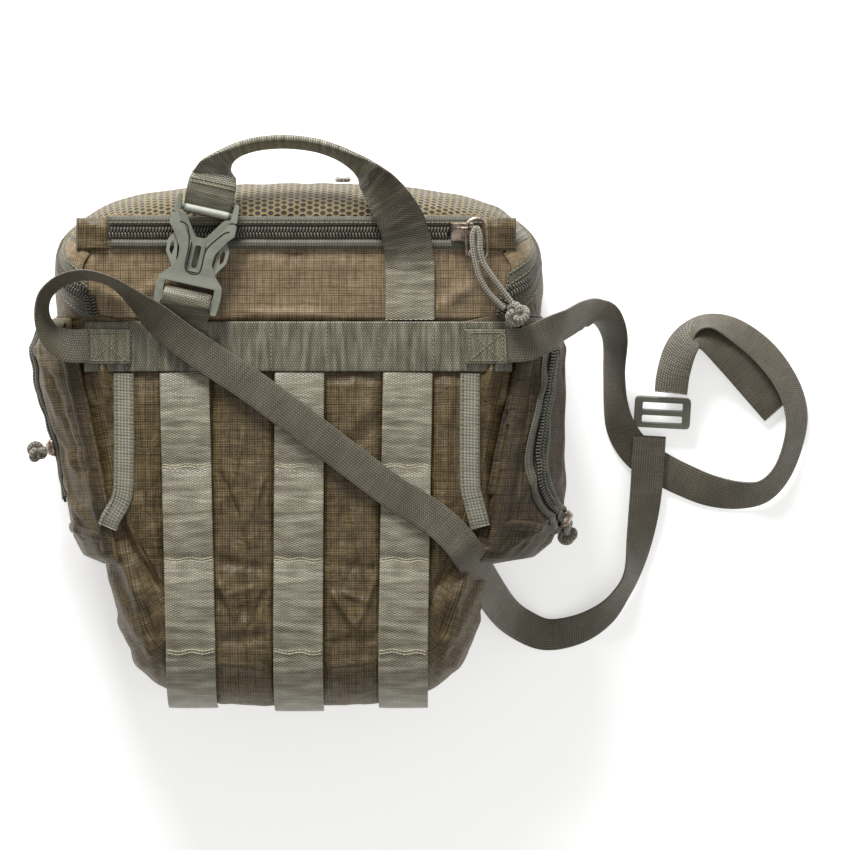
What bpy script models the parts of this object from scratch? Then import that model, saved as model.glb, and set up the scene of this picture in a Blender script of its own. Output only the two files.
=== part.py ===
"""A chest pack for binoculars, lying on its back with its front up.

The frame has +Z out of the front, +Y towards the carry handle and +X to the right.
Its origin is on the resting face, in the middle of the back.
Lengths in the tables and constants are millimetres; at() turns them into metres.
"""

import math

import bmesh
import bpy
from mathutils import Matrix, Vector

MM = 0.001
GAP = 0.35                      # clearance between pieces that touch

# --- driving dimensions ---------------------------------------------------------
WALL = 1.6                      # fabric and its foam
DEPTH = 88.0                    # front above the floor, at the middle
FRONT_SLOPE = 0.02              # the front rises towards the handle
PAD = 5.0                       # spacer mesh of the back
WEB = 25.0                      # wide webbing
WEB_THICK = 1.3
TAPE = 10.0                     # narrow knit tape
CORD = 3.0                      # zip pull cord
BELT_TOP = 62.9
BELT_LOW = 37.6
BELT_LEFT = -106.0
BELT_RIGHT = 107.5
LID_HINGE = (0.0, 63.0, 91.2)
ZIP_REAR = (131.0, 10.0)        # y and z of the main zip at the rear top edge
ZIP_HALF = 10.0                 # tape width on each side of the main zip
STRIP_X = (-55.0, 1.0, 54.5)
SIDE_TAPE_X = 86.5

# half of the outline, from the middle of the top round to the middle of the bottom
HALF_OUTLINE = [(0, 132), (38, 131.2), (68, 128.3), (92, 123.2), (109, 114.5), (119, 103), (123, 90),
                (123, 74), (120.5, 55), (115, 30), (108.5, 0), (102.5, -32), (97, -61), (91, -87),
                (84.5, -106), (75, -118.5), (61, -126.5), (42, -130.6), (20, -132)]

# height of a ring round the bag, and how far it stands inside the outline
RINGS = [(0, 4), (20, 1.4), (45, 0), (65, 1.6), (77, 5), (84, 9.5), (88, 16)]

# colour, roughness and metallic value of each finish
FINISHES = {
    "ripstop": ((0.20, 0.145, 0.075, 1), 0.6, 0.0),
    "mesh": ((0.24, 0.19, 0.09, 1), 0.8, 0.0),
    "webbing": ((0.10, 0.10, 0.07, 1), 0.55, 0.0),
    "tape": ((0.17, 0.17, 0.13, 1), 0.7, 0.0),
    "coil": ((0.05, 0.05, 0.045, 1), 0.35, 0.0),
    "lining": ((0.09, 0.08, 0.06, 1), 0.7, 0.0),
    "board": ((0.03, 0.03, 0.03, 1), 0.5, 0.0),
    "buckle": ((0.15, 0.16, 0.12, 1), 0.45, 0.0),
    "lock": ((0.07, 0.085, 0.055, 1), 0.4, 0.0),
    "metal": ((0.36, 0.27, 0.22, 1), 0.35, 1.0),
    "cord": ((0.30, 0.28, 0.22, 1), 0.7, 0.0),
}


def clear_scene():
    for old in list(bpy.data.objects):
        bpy.data.objects.remove(old, do_unlink=True)


def new_collection(name):
    collection = bpy.data.collections.new(name)
    bpy.context.scene.collection.children.link(collection)
    return collection


clear_scene()
PACK = new_collection("binocular_harness_pack")
CUTTERS = new_collection("cutters")


def at(x, y, z):
    """A place given in millimetres, as a vector in metres."""
    return Vector((x, y, z)) * MM


def front(y):
    """Height of the flat part of the front, in millimetres."""
    return DEPTH + FRONT_SLOPE * y


def finish(name, kind):
    colour, roughness, metallic = FINISHES[kind]
    material = bpy.data.materials.new(name + "_" + kind)
    material.use_nodes = True
    shader = material.node_tree.nodes["Principled BSDF"]
    shader.inputs["Base Color"].default_value = colour
    shader.inputs["Roughness"].default_value = roughness
    shader.inputs["Metallic"].default_value = metallic
    return material


def add(name, data, kind):
    """Puts mesh or curve data into the pack as a named piece with its own finish."""
    piece = bpy.data.objects.new(name, data)
    PACK.objects.link(piece)
    data.materials.append(finish(name, kind))
    return piece


def add_cutter(name, mesh):
    cutter = bpy.data.objects.new(name, mesh)
    CUTTERS.objects.link(cutter)
    cutter.hide_render = True
    cutter.display_type = "WIRE"
    return cutter


def boolean(piece, cutter, operation):
    modifier = piece.modifiers.new(operation.lower() + "_" + cutter.name, "BOOLEAN")
    modifier.operation = operation
    modifier.object = cutter
    modifier.solver = "EXACT"


def bevel(piece, width, segments=1):
    modifier = piece.modifiers.new("edges", "BEVEL")
    modifier.width = width * MM
    modifier.segments = segments
    modifier.limit_method = "ANGLE"
    modifier.angle_limit = math.radians(40)


# --- shapes -----------------------------------------------------------------------

def smooth_curve(points, steps):
    """A Catmull-Rom curve through the points, with steps spans between each two."""
    points = [Vector(p) for p in points]
    ends = [2 * points[0] - points[1]] + points + [2 * points[-1] - points[-2]]
    curve = []
    for i in range(len(points) - 1):
        a, b, c, d = ends[i:i + 4]
        for k in range(steps):
            t = k / steps
            curve.append(0.5 * (2 * b + (c - a) * t + (2 * a - 5 * b + 4 * c - d) * t * t
                                + (3 * b - a - 3 * c + d) * t ** 3))
    curve.append(points[-1])
    return curve


def full_outline():
    """The closed outline of the bag and its outward normals."""
    right = [Vector(p) for p in HALF_OUTLINE]
    left = [Vector((-p.x, p.y)) for p in reversed(right[1:])]
    points = right + [Vector((0, -132))] + left
    normals = []
    for i in range(len(points)):
        run = points[(i + 1) % len(points)] - points[i - 1]
        normals.append(Vector((-run.y, run.x)).normalized())
    return points, normals


OUTLINE, NORMALS = full_outline()


def ring(inset, z):
    """The outline drawn in by inset, more round the bottom, where the front turns under."""
    places = []
    for point, normal in zip(OUTLINE, NORMALS):
        grow = 1 + 1.0 * max(0.0, -normal.y) + 0.15 * max(0.0, normal.y)
        place = point - normal * inset * grow
        places.append(at(place.x, place.y, z * (1 + FRONT_SLOPE * place.y / DEPTH)))
    return places


def loft(rings):
    """A closed mesh between rings of equal length, with a cap at each end."""
    count = len(rings[0])
    vertices = [v for r in rings for v in r]
    faces = [list(range(count)), [len(vertices) - count + i for i in reversed(range(count))]]
    for level in range(len(rings) - 1):
        low = level * count
        for i in range(count):
            j = (i + 1) % count
            faces.append([low + i, low + count + i, low + count + j, low + j])
    mesh = bpy.data.meshes.new("loft")
    mesh.from_pydata(vertices, [], faces)
    mesh.update()
    shape = bmesh.new()
    shape.from_mesh(mesh)
    bmesh.ops.recalc_face_normals(shape, faces=shape.faces)
    shape.to_mesh(mesh)
    shape.free()
    return mesh


def bag_form(inset, low):
    """The bag's outer form drawn in by inset, from height low to the front."""
    rings = [ring(RINGS[0][1] + inset, low)]
    rings += [ring(indent + inset, z - (inset if z > 60 else 0)) for z, indent in RINGS[1:]]
    return loft(rings)


def prism(corners, axis, low, high):
    """A polygon drawn along an axis: corners are pairs in the other two axes' order."""
    def place(corner, along):
        a, b = corner
        return at(along, a, b) if axis == "X" else at(a, b, along)
    return loft([[place(c, low) for c in corners], [place(c, high) for c in corners]])


def box_mesh(low, high):
    shape = bmesh.new()
    bmesh.ops.create_cube(shape, size=1.0)
    size = [high[i] - low[i] for i in range(3)]
    middle = [(high[i] + low[i]) / 2 for i in range(3)]
    bmesh.ops.scale(shape, vec=Vector(size) * MM, verts=shape.verts)
    bmesh.ops.translate(shape, vec=at(*middle), verts=shape.verts)
    mesh = bpy.data.meshes.new("box")
    shape.to_mesh(mesh)
    shape.free()
    return mesh


def box(name, low, high, kind):
    return add(name, box_mesh(low, high), kind)


def plate(name, outlines, low, high, kind):
    """A flat shape with optional holes, drawn up from low to high."""
    curve = bpy.data.curves.new(name, "CURVE")
    curve.dimensions = "2D"
    curve.fill_mode = "BOTH"
    curve.extrude = (high - low) / 2 * MM
    for outline in outlines:
        spline = curve.splines.new("POLY")
        spline.points.add(len(outline) - 1)
        for point, (x, y) in zip(spline.points, outline):
            point.co = (x * MM, y * MM, 0, 1)
        spline.use_cyclic_u = True
    piece = add(name, curve, kind)
    piece.location = at(0, 0, (low + high) / 2)
    return piece


def solid_plate(name, outlines, low, high, kind):
    """A plate as a mesh, ready for Boolean and Bevel modifiers."""
    flat = plate(name + "_flat", outlines, low, high, kind)
    bpy.context.view_layer.update()
    graph = bpy.context.evaluated_depsgraph_get()
    mesh = bpy.data.meshes.new_from_object(flat.evaluated_get(graph))
    shape = bmesh.new()
    shape.from_mesh(mesh)
    bmesh.ops.remove_doubles(shape, verts=shape.verts, dist=0.00002)
    shape.to_mesh(mesh)
    shape.free()
    mesh.materials.clear()
    piece = add(name, mesh, kind)
    piece.matrix_world = flat.matrix_world.copy()
    bpy.data.objects.remove(flat, do_unlink=True)
    return piece


def tube(name, points, diameter, kind, cyclic=False):
    """A round cord or wire along the points, given in millimetres."""
    curve = bpy.data.curves.new(name, "CURVE")
    curve.dimensions = "3D"
    curve.bevel_depth = diameter / 2 * MM
    curve.bevel_resolution = 2
    curve.use_fill_caps = not cyclic
    spline = curve.splines.new("POLY")
    spline.points.add(len(points) - 1)
    for point, place in zip(spline.points, points):
        point.co = (*at(*place), 1)
    spline.use_cyclic_u = cyclic
    return add(name, curve, kind)


def skin(name, place, columns, rows, thickness, kind):
    """An open sheet whose point for (u, v), each from 0 to 1, is place(u, v), made solid."""
    shape = bmesh.new()
    bmesh.ops.create_grid(shape, x_segments=columns, y_segments=rows, size=0.5)
    for vertex in shape.verts:
        vertex.co = at(*place(vertex.co.x + 0.5, vertex.co.y + 0.5))
    mesh = bpy.data.meshes.new(name)
    shape.to_mesh(mesh)
    shape.free()
    piece = add(name, mesh, kind)
    solid = piece.modifiers.new("thickness", "SOLIDIFY")
    solid.thickness = thickness * MM
    solid.offset = 1.0
    solid.use_even_offset = True
    return piece


def ribbon(name, path, width, thickness, kind, turn=0.0):
    """Flat webbing along a path of (x, y, z), its width turned by an angle about +Z from +X."""
    across = Vector((math.cos(turn), math.sin(turn), 0))
    count = len(path) - 1

    def place(u, v):
        spot = min(v * count, count - 1e-6)
        i = int(spot)
        middle = Vector(path[i]).lerp(Vector(path[i + 1]), spot - i)
        return middle + across * (u - 0.5) * width
    return skin(name, place, 1, count, thickness, kind)


def pivot(name, location, pieces):
    """An empty on a joint's axis that carries the pieces of one moving body."""
    empty = bpy.data.objects.new(name, None)
    PACK.objects.link(empty)
    empty.location = at(*location)
    bpy.context.view_layer.update()
    for piece in pieces:
        piece.parent = empty
        piece.matrix_parent_inverse = empty.matrix_world.inverted()
    return empty


# --- regions that divide the bag's shell -----------------------------------------------

def zip_line(offset):
    """Two points of the main zip's plane in (y, z), moved towards the lid by offset."""
    hinge = Vector((LID_HINGE[1], LID_HINGE[2] - 1.5))
    rear = Vector(ZIP_REAR)
    run = (rear - hinge).normalized()
    side = Vector((-run.y, run.x)) * offset
    return hinge + side - run * 6, rear + side + run * 30


def lid_side(offset):
    """The (y, z) outline of everything on the lid's side of the main zip."""
    near, far = zip_line(offset)
    return [(near.x, near.y), (far.x, far.y), (200, far.y), (200, 140), (near.x, 140)]


def body_side(offset):
    """The (y, z) outline of everything on the body's side of the main zip."""
    near, far = zip_line(-offset)
    return [(near.x, near.y), (far.x, far.y), (far.x, -40), (-200, -40), (-200, 140), (near.x, 140)]


def inset_outline(inset, top):
    """The bag's outline in (x, y), drawn in by inset and cut level at the top."""
    places = []
    for point, normal in zip(OUTLINE, NORMALS):
        grow = 1 + 1.0 * max(0.0, -normal.y)
        place = point - normal * inset * grow
        places.append((place.x, min(place.y, top)))
    return places


BAG_INSIDE = add_cutter("bag_inside", bag_form(WALL, -20))
FACE_TOP = 115.0
FACE_REGION = add_cutter("face_region", prism(inset_outline(14, FACE_TOP), "Z", 55, 130))
RIM_REGION = add_cutter("rim_region", prism(inset_outline(14 - GAP, FACE_TOP + GAP), "Z", 54, 131))


def region(name, corners, axis, low, high):
    return add_cutter(name, prism(corners, axis, low, high))


LID_PART = region("lid_part", lid_side(ZIP_HALF + GAP), "X", -200, 200)
LID_TAPE = region("lid_tape", lid_side(GAP), "X", -200, 200)
BODY_PART = region("body_part", body_side(ZIP_HALF + GAP), "X", -200, 200)
BODY_TAPE = region("body_tape", body_side(GAP), "X", -200, 200)
LID_REST = region("lid_rest", lid_side(ZIP_HALF), "X", -201, 201)
BODY_REST = region("body_rest", body_side(ZIP_HALF), "X", -201, 201)
ABOVE_BELT = region("above_belt", [(BELT_TOP + 2 * GAP, -50), (190, -50), (190, 150),
                                   (BELT_TOP + 2 * GAP, 150)],
                    "X", -190, 190)
BELOW_BELT = region("below_belt", [(-190, -50), (BELT_TOP, -50), (BELT_TOP, 150), (-190, 150)], "X", -190,
                    190)
CORNER_X = 66.0
LEFT_PART = region("left_part", [(-190, -190), (-CORNER_X, -190), (-CORNER_X, 190), (-190, 190)], "Z",
                   -30, 160)
RIGHT_PART = region("right_part", [(CORNER_X, -190), (190, -190), (190, 190), (CORNER_X, 190)], "Z", -30, 160)
MIDDLE_X = CORNER_X - GAP
LOW_PART = region("low_part", [(-MIDDLE_X, -190), (MIDDLE_X, -190), (MIDDLE_X, 0), (-MIDDLE_X, 0)], "Z",
                  -30, 160)
HIGH_PART = region("high_part", [(-MIDDLE_X, 0), (MIDDLE_X, 0), (MIDDLE_X, 190), (-MIDDLE_X, 190)], "Z",
                   -30, 160)
ROOF_Y = 106.0
ROOF_PART = region("roof_part", [(-190, ROOF_Y), (190, ROOF_Y), (190, 190), (-190, 190)], "Z", -30, 160)
CHEEK_Y = ROOF_Y - GAP
LEFT_CHEEK = region("left_cheek", [(-190, 20), (-10, 20), (-10, CHEEK_Y), (-190, CHEEK_Y)], "Z", -30, 160)
RIGHT_CHEEK = region("right_cheek", [(10, 20), (190, 20), (190, CHEEK_Y), (10, CHEEK_Y)], "Z", -30, 160)


def shell_piece(name, kind, keep, leave_out=()):
    """Part of the bag's fabric shell: inside every region to keep, outside every one left out."""
    piece = add(name, bag_form(0, 0), kind)
    boolean(piece, BAG_INSIDE, "DIFFERENCE")
    for cutter in keep:
        boolean(piece, cutter, "INTERSECT")
    for cutter in leave_out:
        boolean(piece, cutter, "DIFFERENCE")
    return piece


# --- the bag ----------------------------------------------------------------------------

def back():
    """Spacer mesh skin on the floor, a stiffener sheet in it, and the lining over it."""
    outline = [(p.x, p.y) for p in (q / MM for q in ring(RINGS[0][1] + WALL + GAP, 0))]
    plate("back_pad", [outline], 0, PAD, "mesh")
    small = [(p.x, p.y) for p in (q / MM for q in ring(RINGS[0][1] + WALL + 8, 0))]
    plate("back_stiffener", [small], PAD + GAP, PAD + GAP + 1.2, "board")
    plate("back_lining", [small], PAD + 2 * GAP + 1.2, PAD + 2 * GAP + 1.8, "lining")


def bag_walls():
    shell_piece("front_panel", "ripstop", [FACE_REGION, BELOW_BELT])
    shell_piece("left_side_wall", "ripstop", [BODY_PART, LEFT_PART], [RIM_REGION])
    shell_piece("right_side_wall", "ripstop", [BODY_PART, RIGHT_PART], [RIM_REGION])
    shell_piece("bottom_wall", "ripstop", [BODY_PART, LOW_PART], [RIM_REGION])
    shell_piece("main_zip_body_tape", "tape", [BODY_TAPE, ABOVE_BELT], [BODY_REST, RIM_REGION])


def lid_walls():
    shell_piece("lid_front_panel", "ripstop", [FACE_REGION, ABOVE_BELT])
    shell_piece("lid_mesh_top", "mesh", [LID_PART, ROOF_PART], [RIM_REGION])
    shell_piece("lid_left_side", "ripstop", [LID_PART, ABOVE_BELT, LEFT_CHEEK], [RIM_REGION])
    shell_piece("lid_right_side", "ripstop", [LID_PART, ABOVE_BELT, RIGHT_CHEEK], [RIM_REGION])
    shell_piece("main_zip_lid_tape", "tape", [LID_TAPE, ABOVE_BELT], [LID_REST, RIM_REGION])


def linings():
    """Flat linings behind the two front panels. The lid's one makes its zipped pocket."""
    low = front(0) - 8.0
    plate("front_lining", [[(-74, -85), (74, -85), (90, 50), (-90, 50)]], low - 1, low - 0.4, "lining")
    low = front(90) - 9.0
    plate("lid_lining", [[(-96, 72), (96, 72), (92, 108), (-92, 108)]], low - 0.6, low, "lining")


def front_path(x, edge, lift):
    """Points down the front at one x and round under the bottom, lift above the fabric."""
    foot = -132 + edge
    return [(x, BELT_LOW - 2 * GAP, front(37) + lift), (x, 0, front(0) + lift),
            (x, -60, front(-60) + lift), (x, foot + 33, front(-97) + lift),
            (x, foot + 18.5, front(-110) - 3.2 + lift), (x, foot + 9, 77 + lift * 0.7),
            (x, foot + 2.2, 66 + lift * 0.3), (x, foot - lift, 50)]


def front_webbing():
    """The belt across the front, three strips down it and two narrow tapes."""
    lift = 0.5

    def belt_place(u, v):
        return (BELT_LEFT + (BELT_RIGHT - BELT_LEFT) * u, BELT_LOW + v * (BELT_TOP - BELT_LOW),
                front(50) + lift)
    skin("belt_webbing", belt_place, 8, 1, WEB_THICK, "webbing")
    for name, x, edge in zip(("left_strip", "middle_strip", "right_strip"), STRIP_X, (0.6, -0.3, 0.6)):
        path = [Vector(p) for p in front_path(x, edge, lift)]
        ribbon(name, smooth_curve(path, 2), WEB, WEB_THICK, "webbing", math.pi)
    for name, side in (("left_side_tape", -1), ("right_side_tape", 1)):
        lean = [(side * SIDE_TAPE_X, 36.5), (side * SIDE_TAPE_X, 0), (side * (SIDE_TAPE_X + 1), -24),
                (side * (SIDE_TAPE_X + 4), -38)]
        path = [(x, y, front(y) + lift) for x, y in lean]
        ribbon(name, path, TAPE, 0.9, "tape", math.pi)


def strap_anchors():
    """The strap's ends, folded and box stitched on the belt."""
    low = front(50) + 0.5 + WEB_THICK + GAP
    box("left_strap_anchor", (-104, 41.3, low), (-83, 58.5, low + 1.4), "webbing")
    box("right_strap_anchor", (84, 41.3, low), (105, 58.5, low + 1.4), "webbing")


def wall_x(y, z):
    """Half width of the bag at one height and place along it."""
    points = [Vector(p) for p in HALF_OUTLINE]
    for upper, lower in zip(points, points[1:]):
        if lower.y <= y <= upper.y:
            share = (upper.y - y) / max(upper.y - lower.y, 1e-6)
            width = upper.x + (lower.x - upper.x) * share
    for (z0, in0), (z1, in1) in zip(RINGS, RINGS[1:]):
        if z0 <= z <= z1:
            width -= in0 + (in1 - in0) * (z - z0) / (z1 - z0)
            break
    return width


POCKET_TOP = 64.5
POCKET_LOW = -58.0
POCKET_BACK = 10.0
POCKET_FRONT = 84.0
POCKET_SKIN = 1.3
POCKET_COIL = 2.6
# (y, half width) of the outermost line of each side pocket, from top to bottom
POCKET_EDGE = {-1: [(64.5, 123), (60, 129), (50, 133), (30, 130), (0, 120.5), (-20, 117), (-45, 113),
                    (-54, 108), (-58, 98.5)],
               1: [(64.5, 123), (60, 129.5), (50, 133.5), (25, 133.5), (0, 133.5), (-25, 133.5), (-37, 132),
                   (-48, 127), (-55, 118), (-58, 98.5)]}


def along(points, y):
    """The second value of a list of (y, value), which falls in y, at one y."""
    for (y0, a), (y1, b) in zip(points, points[1:]):
        if y1 <= y <= y0:
            return a + (b - a) * (y0 - y) / (y0 - y1)
    return points[-1][1]


def pocket_spot(side, u, v):
    """A point on a side pocket: u runs from back to front, v from top to bottom."""
    y = POCKET_TOP + (POCKET_LOW - POCKET_TOP) * v
    z = POCKET_BACK + (POCKET_FRONT - POCKET_BACK) * u
    swell = max(0.0, math.sin(math.pi * min(max(u, 0.0), 1.0))) ** 0.55
    reach = 0.6 + (along(POCKET_EDGE[side], y) - wall_x(y, 45)) * swell
    turn = max(0.0, u - 0.55) * 1.4
    x = wall_x(y, z) + reach * (1 - 0.25 * turn)
    return Vector((side * x, y, z + reach * turn * 0.55))


def off_pocket(side, u, v, lift):
    """A point that stands off the pocket's outer face by lift."""
    step = 0.02
    run = pocket_spot(side, u + step, v) - pocket_spot(side, u - step, v)
    fall = pocket_spot(side, u, v + step) - pocket_spot(side, u, v - step)
    out = run.cross(fall).normalized()
    if out.x * side < 0:
        out = -out
    return pocket_spot(side, u, v) + out * (POCKET_SKIN + lift)


def side_pocket(name, side):
    """A swelling pocket sewn to a side wall, open to the wall like a bowl."""
    if side < 0:
        return skin(name, lambda u, v: pocket_spot(side, v, u), 12, 10, POCKET_SKIN, "ripstop")
    return skin(name, lambda u, v: pocket_spot(side, u, v), 10, 12, POCKET_SKIN, "ripstop")


# (u, v) of each pocket zip, and of its slider
POCKET_ZIP = {-1: [(0.5, 0.08), (0.5, 0.24), (0.5, 0.4), (0.5, 0.55), (0.5, 0.66), (0.5, 0.7)],
              1: [(0.72, 0.08), (0.72, 0.24), (0.72, 0.42), (0.72, 0.58), (0.7, 0.7), (0.6, 0.78),
                  (0.48, 0.82)]}
POCKET_SLIDER = {-1: (0.5, 0.49), 1: (0.52, 0.815)}


def pocket_zip(name, side):
    """The coil of a side pocket's zip, lying on the pocket."""
    route = [off_pocket(side, u, v, POCKET_COIL / 2 + 1.3) for u, v in POCKET_ZIP[side]]
    return tube(name, [tuple(p) for p in smooth_curve(route, 4)], POCKET_COIL, "coil")


# --- zips and their pulls -----------------------------------------------------------------

ZIP_Y = 107.0
ZIP_LEFT = -94.5
SLIDER_X = 82.5
COIL_HALF = 3.15


def lid_pocket_zip():
    base = front(ZIP_Y) + GAP + 0.1
    box("lid_zip_tape", (ZIP_LEFT, 99.6, base), (92, 114.4, base + 0.6), "tape")
    coil = box("lid_zip_coil", (ZIP_LEFT, ZIP_Y - COIL_HALF, base + 0.95),
               (76, ZIP_Y + COIL_HALF, base + 2.9), "coil")
    bevel(coil, 0.7)
    for name, low, high in (("left_zip_patch", -109, ZIP_LEFT - GAP), ("right_zip_patch", 92 + GAP, 106)):
        box(name, (low, 100, base + 0.4), (high, 112, base + 1.2), "ripstop")


def channel_slider(name, middle, size, channel, kind="metal"):
    """A slider over a coil: a block along X with the coil's channel cut from below."""
    x, y, z = middle
    length, width, height = size
    piece = box(name, (x - length / 2, y - width / 2, z), (x + length / 2, y + width / 2, z + height), kind)
    wide, high = channel
    cutter = add_cutter(name + "_channel", box_mesh((x - length, y - wide / 2, z - 5),
                                                    (x + length, y + wide / 2, z + high)))
    boolean(piece, cutter, "DIFFERENCE")
    bevel(piece, 0.5)
    return piece


RING_X = 89.6
RING_Y = 103.2
RING_Z = front(ZIP_Y) + 7.4
RING_WIRE = 1.7


def oval(x, y, z, half_width, half_height, count=20):
    """Points round an upright oval with straight sides."""
    straight = half_height - half_width
    points = []
    for i in range(count):
        angle = 2 * math.pi * i / count
        rise = straight if math.sin(angle) > 0 else -straight
        points.append((x + half_width * math.cos(angle), y + rise + half_width * math.sin(angle), z))
    return points


def front_pull():
    """Slider of the lid pocket, its ring, the cord looped through the ring, and the knot."""
    base = front(ZIP_Y) + GAP + 0.1
    slider = channel_slider("front_slider", (SLIDER_X, ZIP_Y + 0.2, base + 0.95), (11.5, 9.4, 3.6),
                            (7.2, 2.3))
    arch = [(79.5, base + 4.95), (80.3, base + 7.6), (82.5, RING_Z + 2.2), (85.2, RING_Z + 2.4),
            (87.2, RING_Z + 1.4), (87.5, RING_Z - 1.9)]
    bridge = tube("front_slider_bridge", [(x, 109.0, z) for x, z in arch], 1.4, "metal")
    ring_pull = tube("front_ring_pull", oval(RING_X, RING_Y, RING_Z, 5.1, 10.8), RING_WIRE, "metal",
                     cyclic=True)
    over = RING_Z + RING_WIRE / 2 + CORD / 2 + GAP + 0.3
    route = [(107.5, 72.5, over - 1.5), (101, 79.5, over - 1.2), (95.8, 87.0, over), (92.4, 96, over),
             (89.4, 99.6, over), (87.2, 95.5, over), (89.6, 86.0, over), (96.2, 76, over - 1.5),
             (103.3, 68.8, over - 1.5)]
    cord = tube("front_pull_cord", [tuple(p) for p in smooth_curve(route, 4)], CORD, "cord")
    knot = knot_ball("front_pull_knot", (110.2, 66.0, over - 0.8), 6.0)
    return [slider, bridge], [ring_pull, cord, knot]


def knot_ball(name, middle, radius):
    """A knot in a cord, as a flattened ball."""
    shape = bmesh.new()
    bmesh.ops.create_uvsphere(shape, u_segments=12, v_segments=8, radius=radius * MM)
    bmesh.ops.scale(shape, vec=(1, 1, 0.85), verts=shape.verts)
    mesh = bpy.data.meshes.new(name)
    shape.to_mesh(mesh)
    shape.free()
    piece = add(name, mesh, "cord")
    piece.location = at(*middle)
    return piece


def main_pull(name, x):
    """A main zip slider outside the rear top edge, with a loop of cord through it."""
    y, z = ZIP_REAR
    slider = box(name + "_slider", (x - 5, y + 1.9, z - 5), (x + 5, y + 4.2, z + 5), "metal")
    bevel(slider, 0.6)
    arch = [(x - 1.2, y + 6.1, z + 2), (x - 2.6, y + 6.3, z + 12), (x - 2.7, y + 5.2, z + 24),
            (x, y + 4.9, z + 30),
            (x + 2.7, y + 5.2, z + 24), (x + 2.6, y + 6.3, z + 12), (x + 1.2, y + 6.1, z + 2)]
    loop = tube(name + "_cord", [tuple(p) for p in smooth_curve(arch, 3)], 2.2, "cord")
    return slider, loop


def pocket_pull(name, side, fall):
    """A side pocket's slider over the coil, with a knotted cord that leaves it along fall."""
    u, v = POCKET_SLIDER[side]
    middle = off_pocket(side, u, v, POCKET_COIL + 3.6)
    x, y, z = middle
    slider = box(name + "_slider", (x - 1.0, y - 4.5, z - 3.6), (x + 1.0, y + 4.5, z + 3.6), "metal")
    bevel(slider, 0.5)
    start = middle + Vector((side * (1.0 + CORD / 2 + GAP), 0, 0))
    run = [Vector(step) for step in fall]
    route = [start, start + run[0] * 0.5, start + run[0], start + run[0] + run[1]]
    cord = tube(name + "_cord", [tuple(p) for p in smooth_curve(route, 3)], CORD, "cord")
    end = run[1].normalized()
    knot = knot_ball(name + "_knot", tuple(route[-1] + end * (5.4 + GAP)), 5.2)
    return middle, [slider, cord, knot]


# --- side-release buckle ---------------------------------------------------------------------

BUCKLE_AT = (-49.6, 96.0)
BUCKLE_TURN = math.radians(-12.5)
BUCKLE_LOW = front(96) + 4.3
BUCKLE_THICK = 7.4
SKIN = 1.7
BAR_V = 22.0


def mirrored(points):
    """An outline from its right half, listed from top to bottom."""
    return points + [(-x, y) for x, y in reversed(points)]


def rounded(points, radius, steps=3):
    """The polygon with its corners turned into short arcs."""
    out = []
    count = len(points)
    for i in range(count):
        before, here, after = Vector(points[i - 1]), Vector(points[i]), Vector(points[(i + 1) % count])
        cut = min(radius, (before - here).length * 0.45, (after - here).length * 0.45)
        start = here + (before - here).normalized() * cut
        end = here + (after - here).normalized() * cut
        for k in range(steps + 1):
            t = k / steps
            out.append(tuple((1 - t) ** 2 * start + 2 * t * (1 - t) * here + t * t * end))
    return out


def slot(x0, x1, y0, y1, radius):
    return rounded([(x0, y0), (x1, y0), (x1, y1), (x0, y1)], radius)


def place_buckle(piece):
    """Moves a piece drawn about the buckle's own centre to its place on the lid."""
    turn = Matrix.Rotation(BUCKLE_TURN, 4, "Z")
    piece.matrix_world = Matrix.Translation(at(*BUCKLE_AT, BUCKLE_LOW)) @ turn @ piece.matrix_world
    return piece


def female_half():
    """Two plates joined at the web slot's end, open at the top and flanks for the male half."""
    outline = rounded(mirrored([(4.6, 6.2), (13.4, 18.2), (16.4, 18.2), (16.6, 12.4), (14.0, 9.6), (9.0, 1.5),
                                (8.6, -4.0), (11.8, -9.5), (16.0, -14.0), (16.6, -20), (15.9, -28.4),
                                (12.9, -28.4), (12.6, -25.4)]), 1.1, 2)
    web_slot = slot(-12.6, 12.6, -21.0, -15.6, 0.8)
    piece = solid_plate("buckle_female", [outline, web_slot], 0, BUCKLE_THICK, "buckle")
    hollow = box_mesh((-18, -11.4, SKIN), (18, 40, BUCKLE_THICK - SKIN))
    boolean(piece, place_buckle(add_cutter("female_hollow", hollow)), "DIFFERENCE")
    stem = prism(slot(-3.9, 3.9, -9.6, 40, 3.6), "Z", SKIN, 20)
    boolean(piece, place_buckle(add_cutter("female_stem_slot", stem)), "DIFFERENCE")
    place_buckle(piece)
    bevel(piece, 0.35)
    return piece


def male_half():
    """Bar between two legs, a V down to the slotted stem, and a crossbar inside the female half."""
    low = SKIN + GAP
    high = BUCKLE_THICK - SKIN - GAP
    inner = [(3.5, -9.0), (3.5, 5.2), (12.6, 15.6), (12.9, 18.8), (16.2, 18.8), (15.6, 28.2), (13.4, 28.6),
             (12.7, 19.9), (9.8, 19.2), (2.4, 8.4)]
    outline = rounded(list(reversed(mirrored(inner))), 0.9, 2)
    stem_slot = slot(-1.5, 1.5, -7.0, 4.4, 1.4)
    piece = solid_plate("buckle_male", [outline, stem_slot], low, high, "buckle")
    place_buckle(piece)
    bevel(piece, 0.3)
    bar = bmesh.new()
    bmesh.ops.create_cone(bar, cap_ends=True, segments=16, radius1=1.6 * MM, radius2=1.6 * MM,
                          depth=27.0 * MM)
    mesh = bpy.data.meshes.new("bar")
    bar.to_mesh(mesh)
    bar.free()
    cutter = add_cutter("male_bar_round", mesh)
    cutter.matrix_world = (Matrix.Translation(at(0, BAR_V, BUCKLE_THICK / 2))
                           @ Matrix.Rotation(math.pi / 2, 4, "Y"))
    boolean(piece, place_buckle(cutter), "UNION")
    return piece


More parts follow.
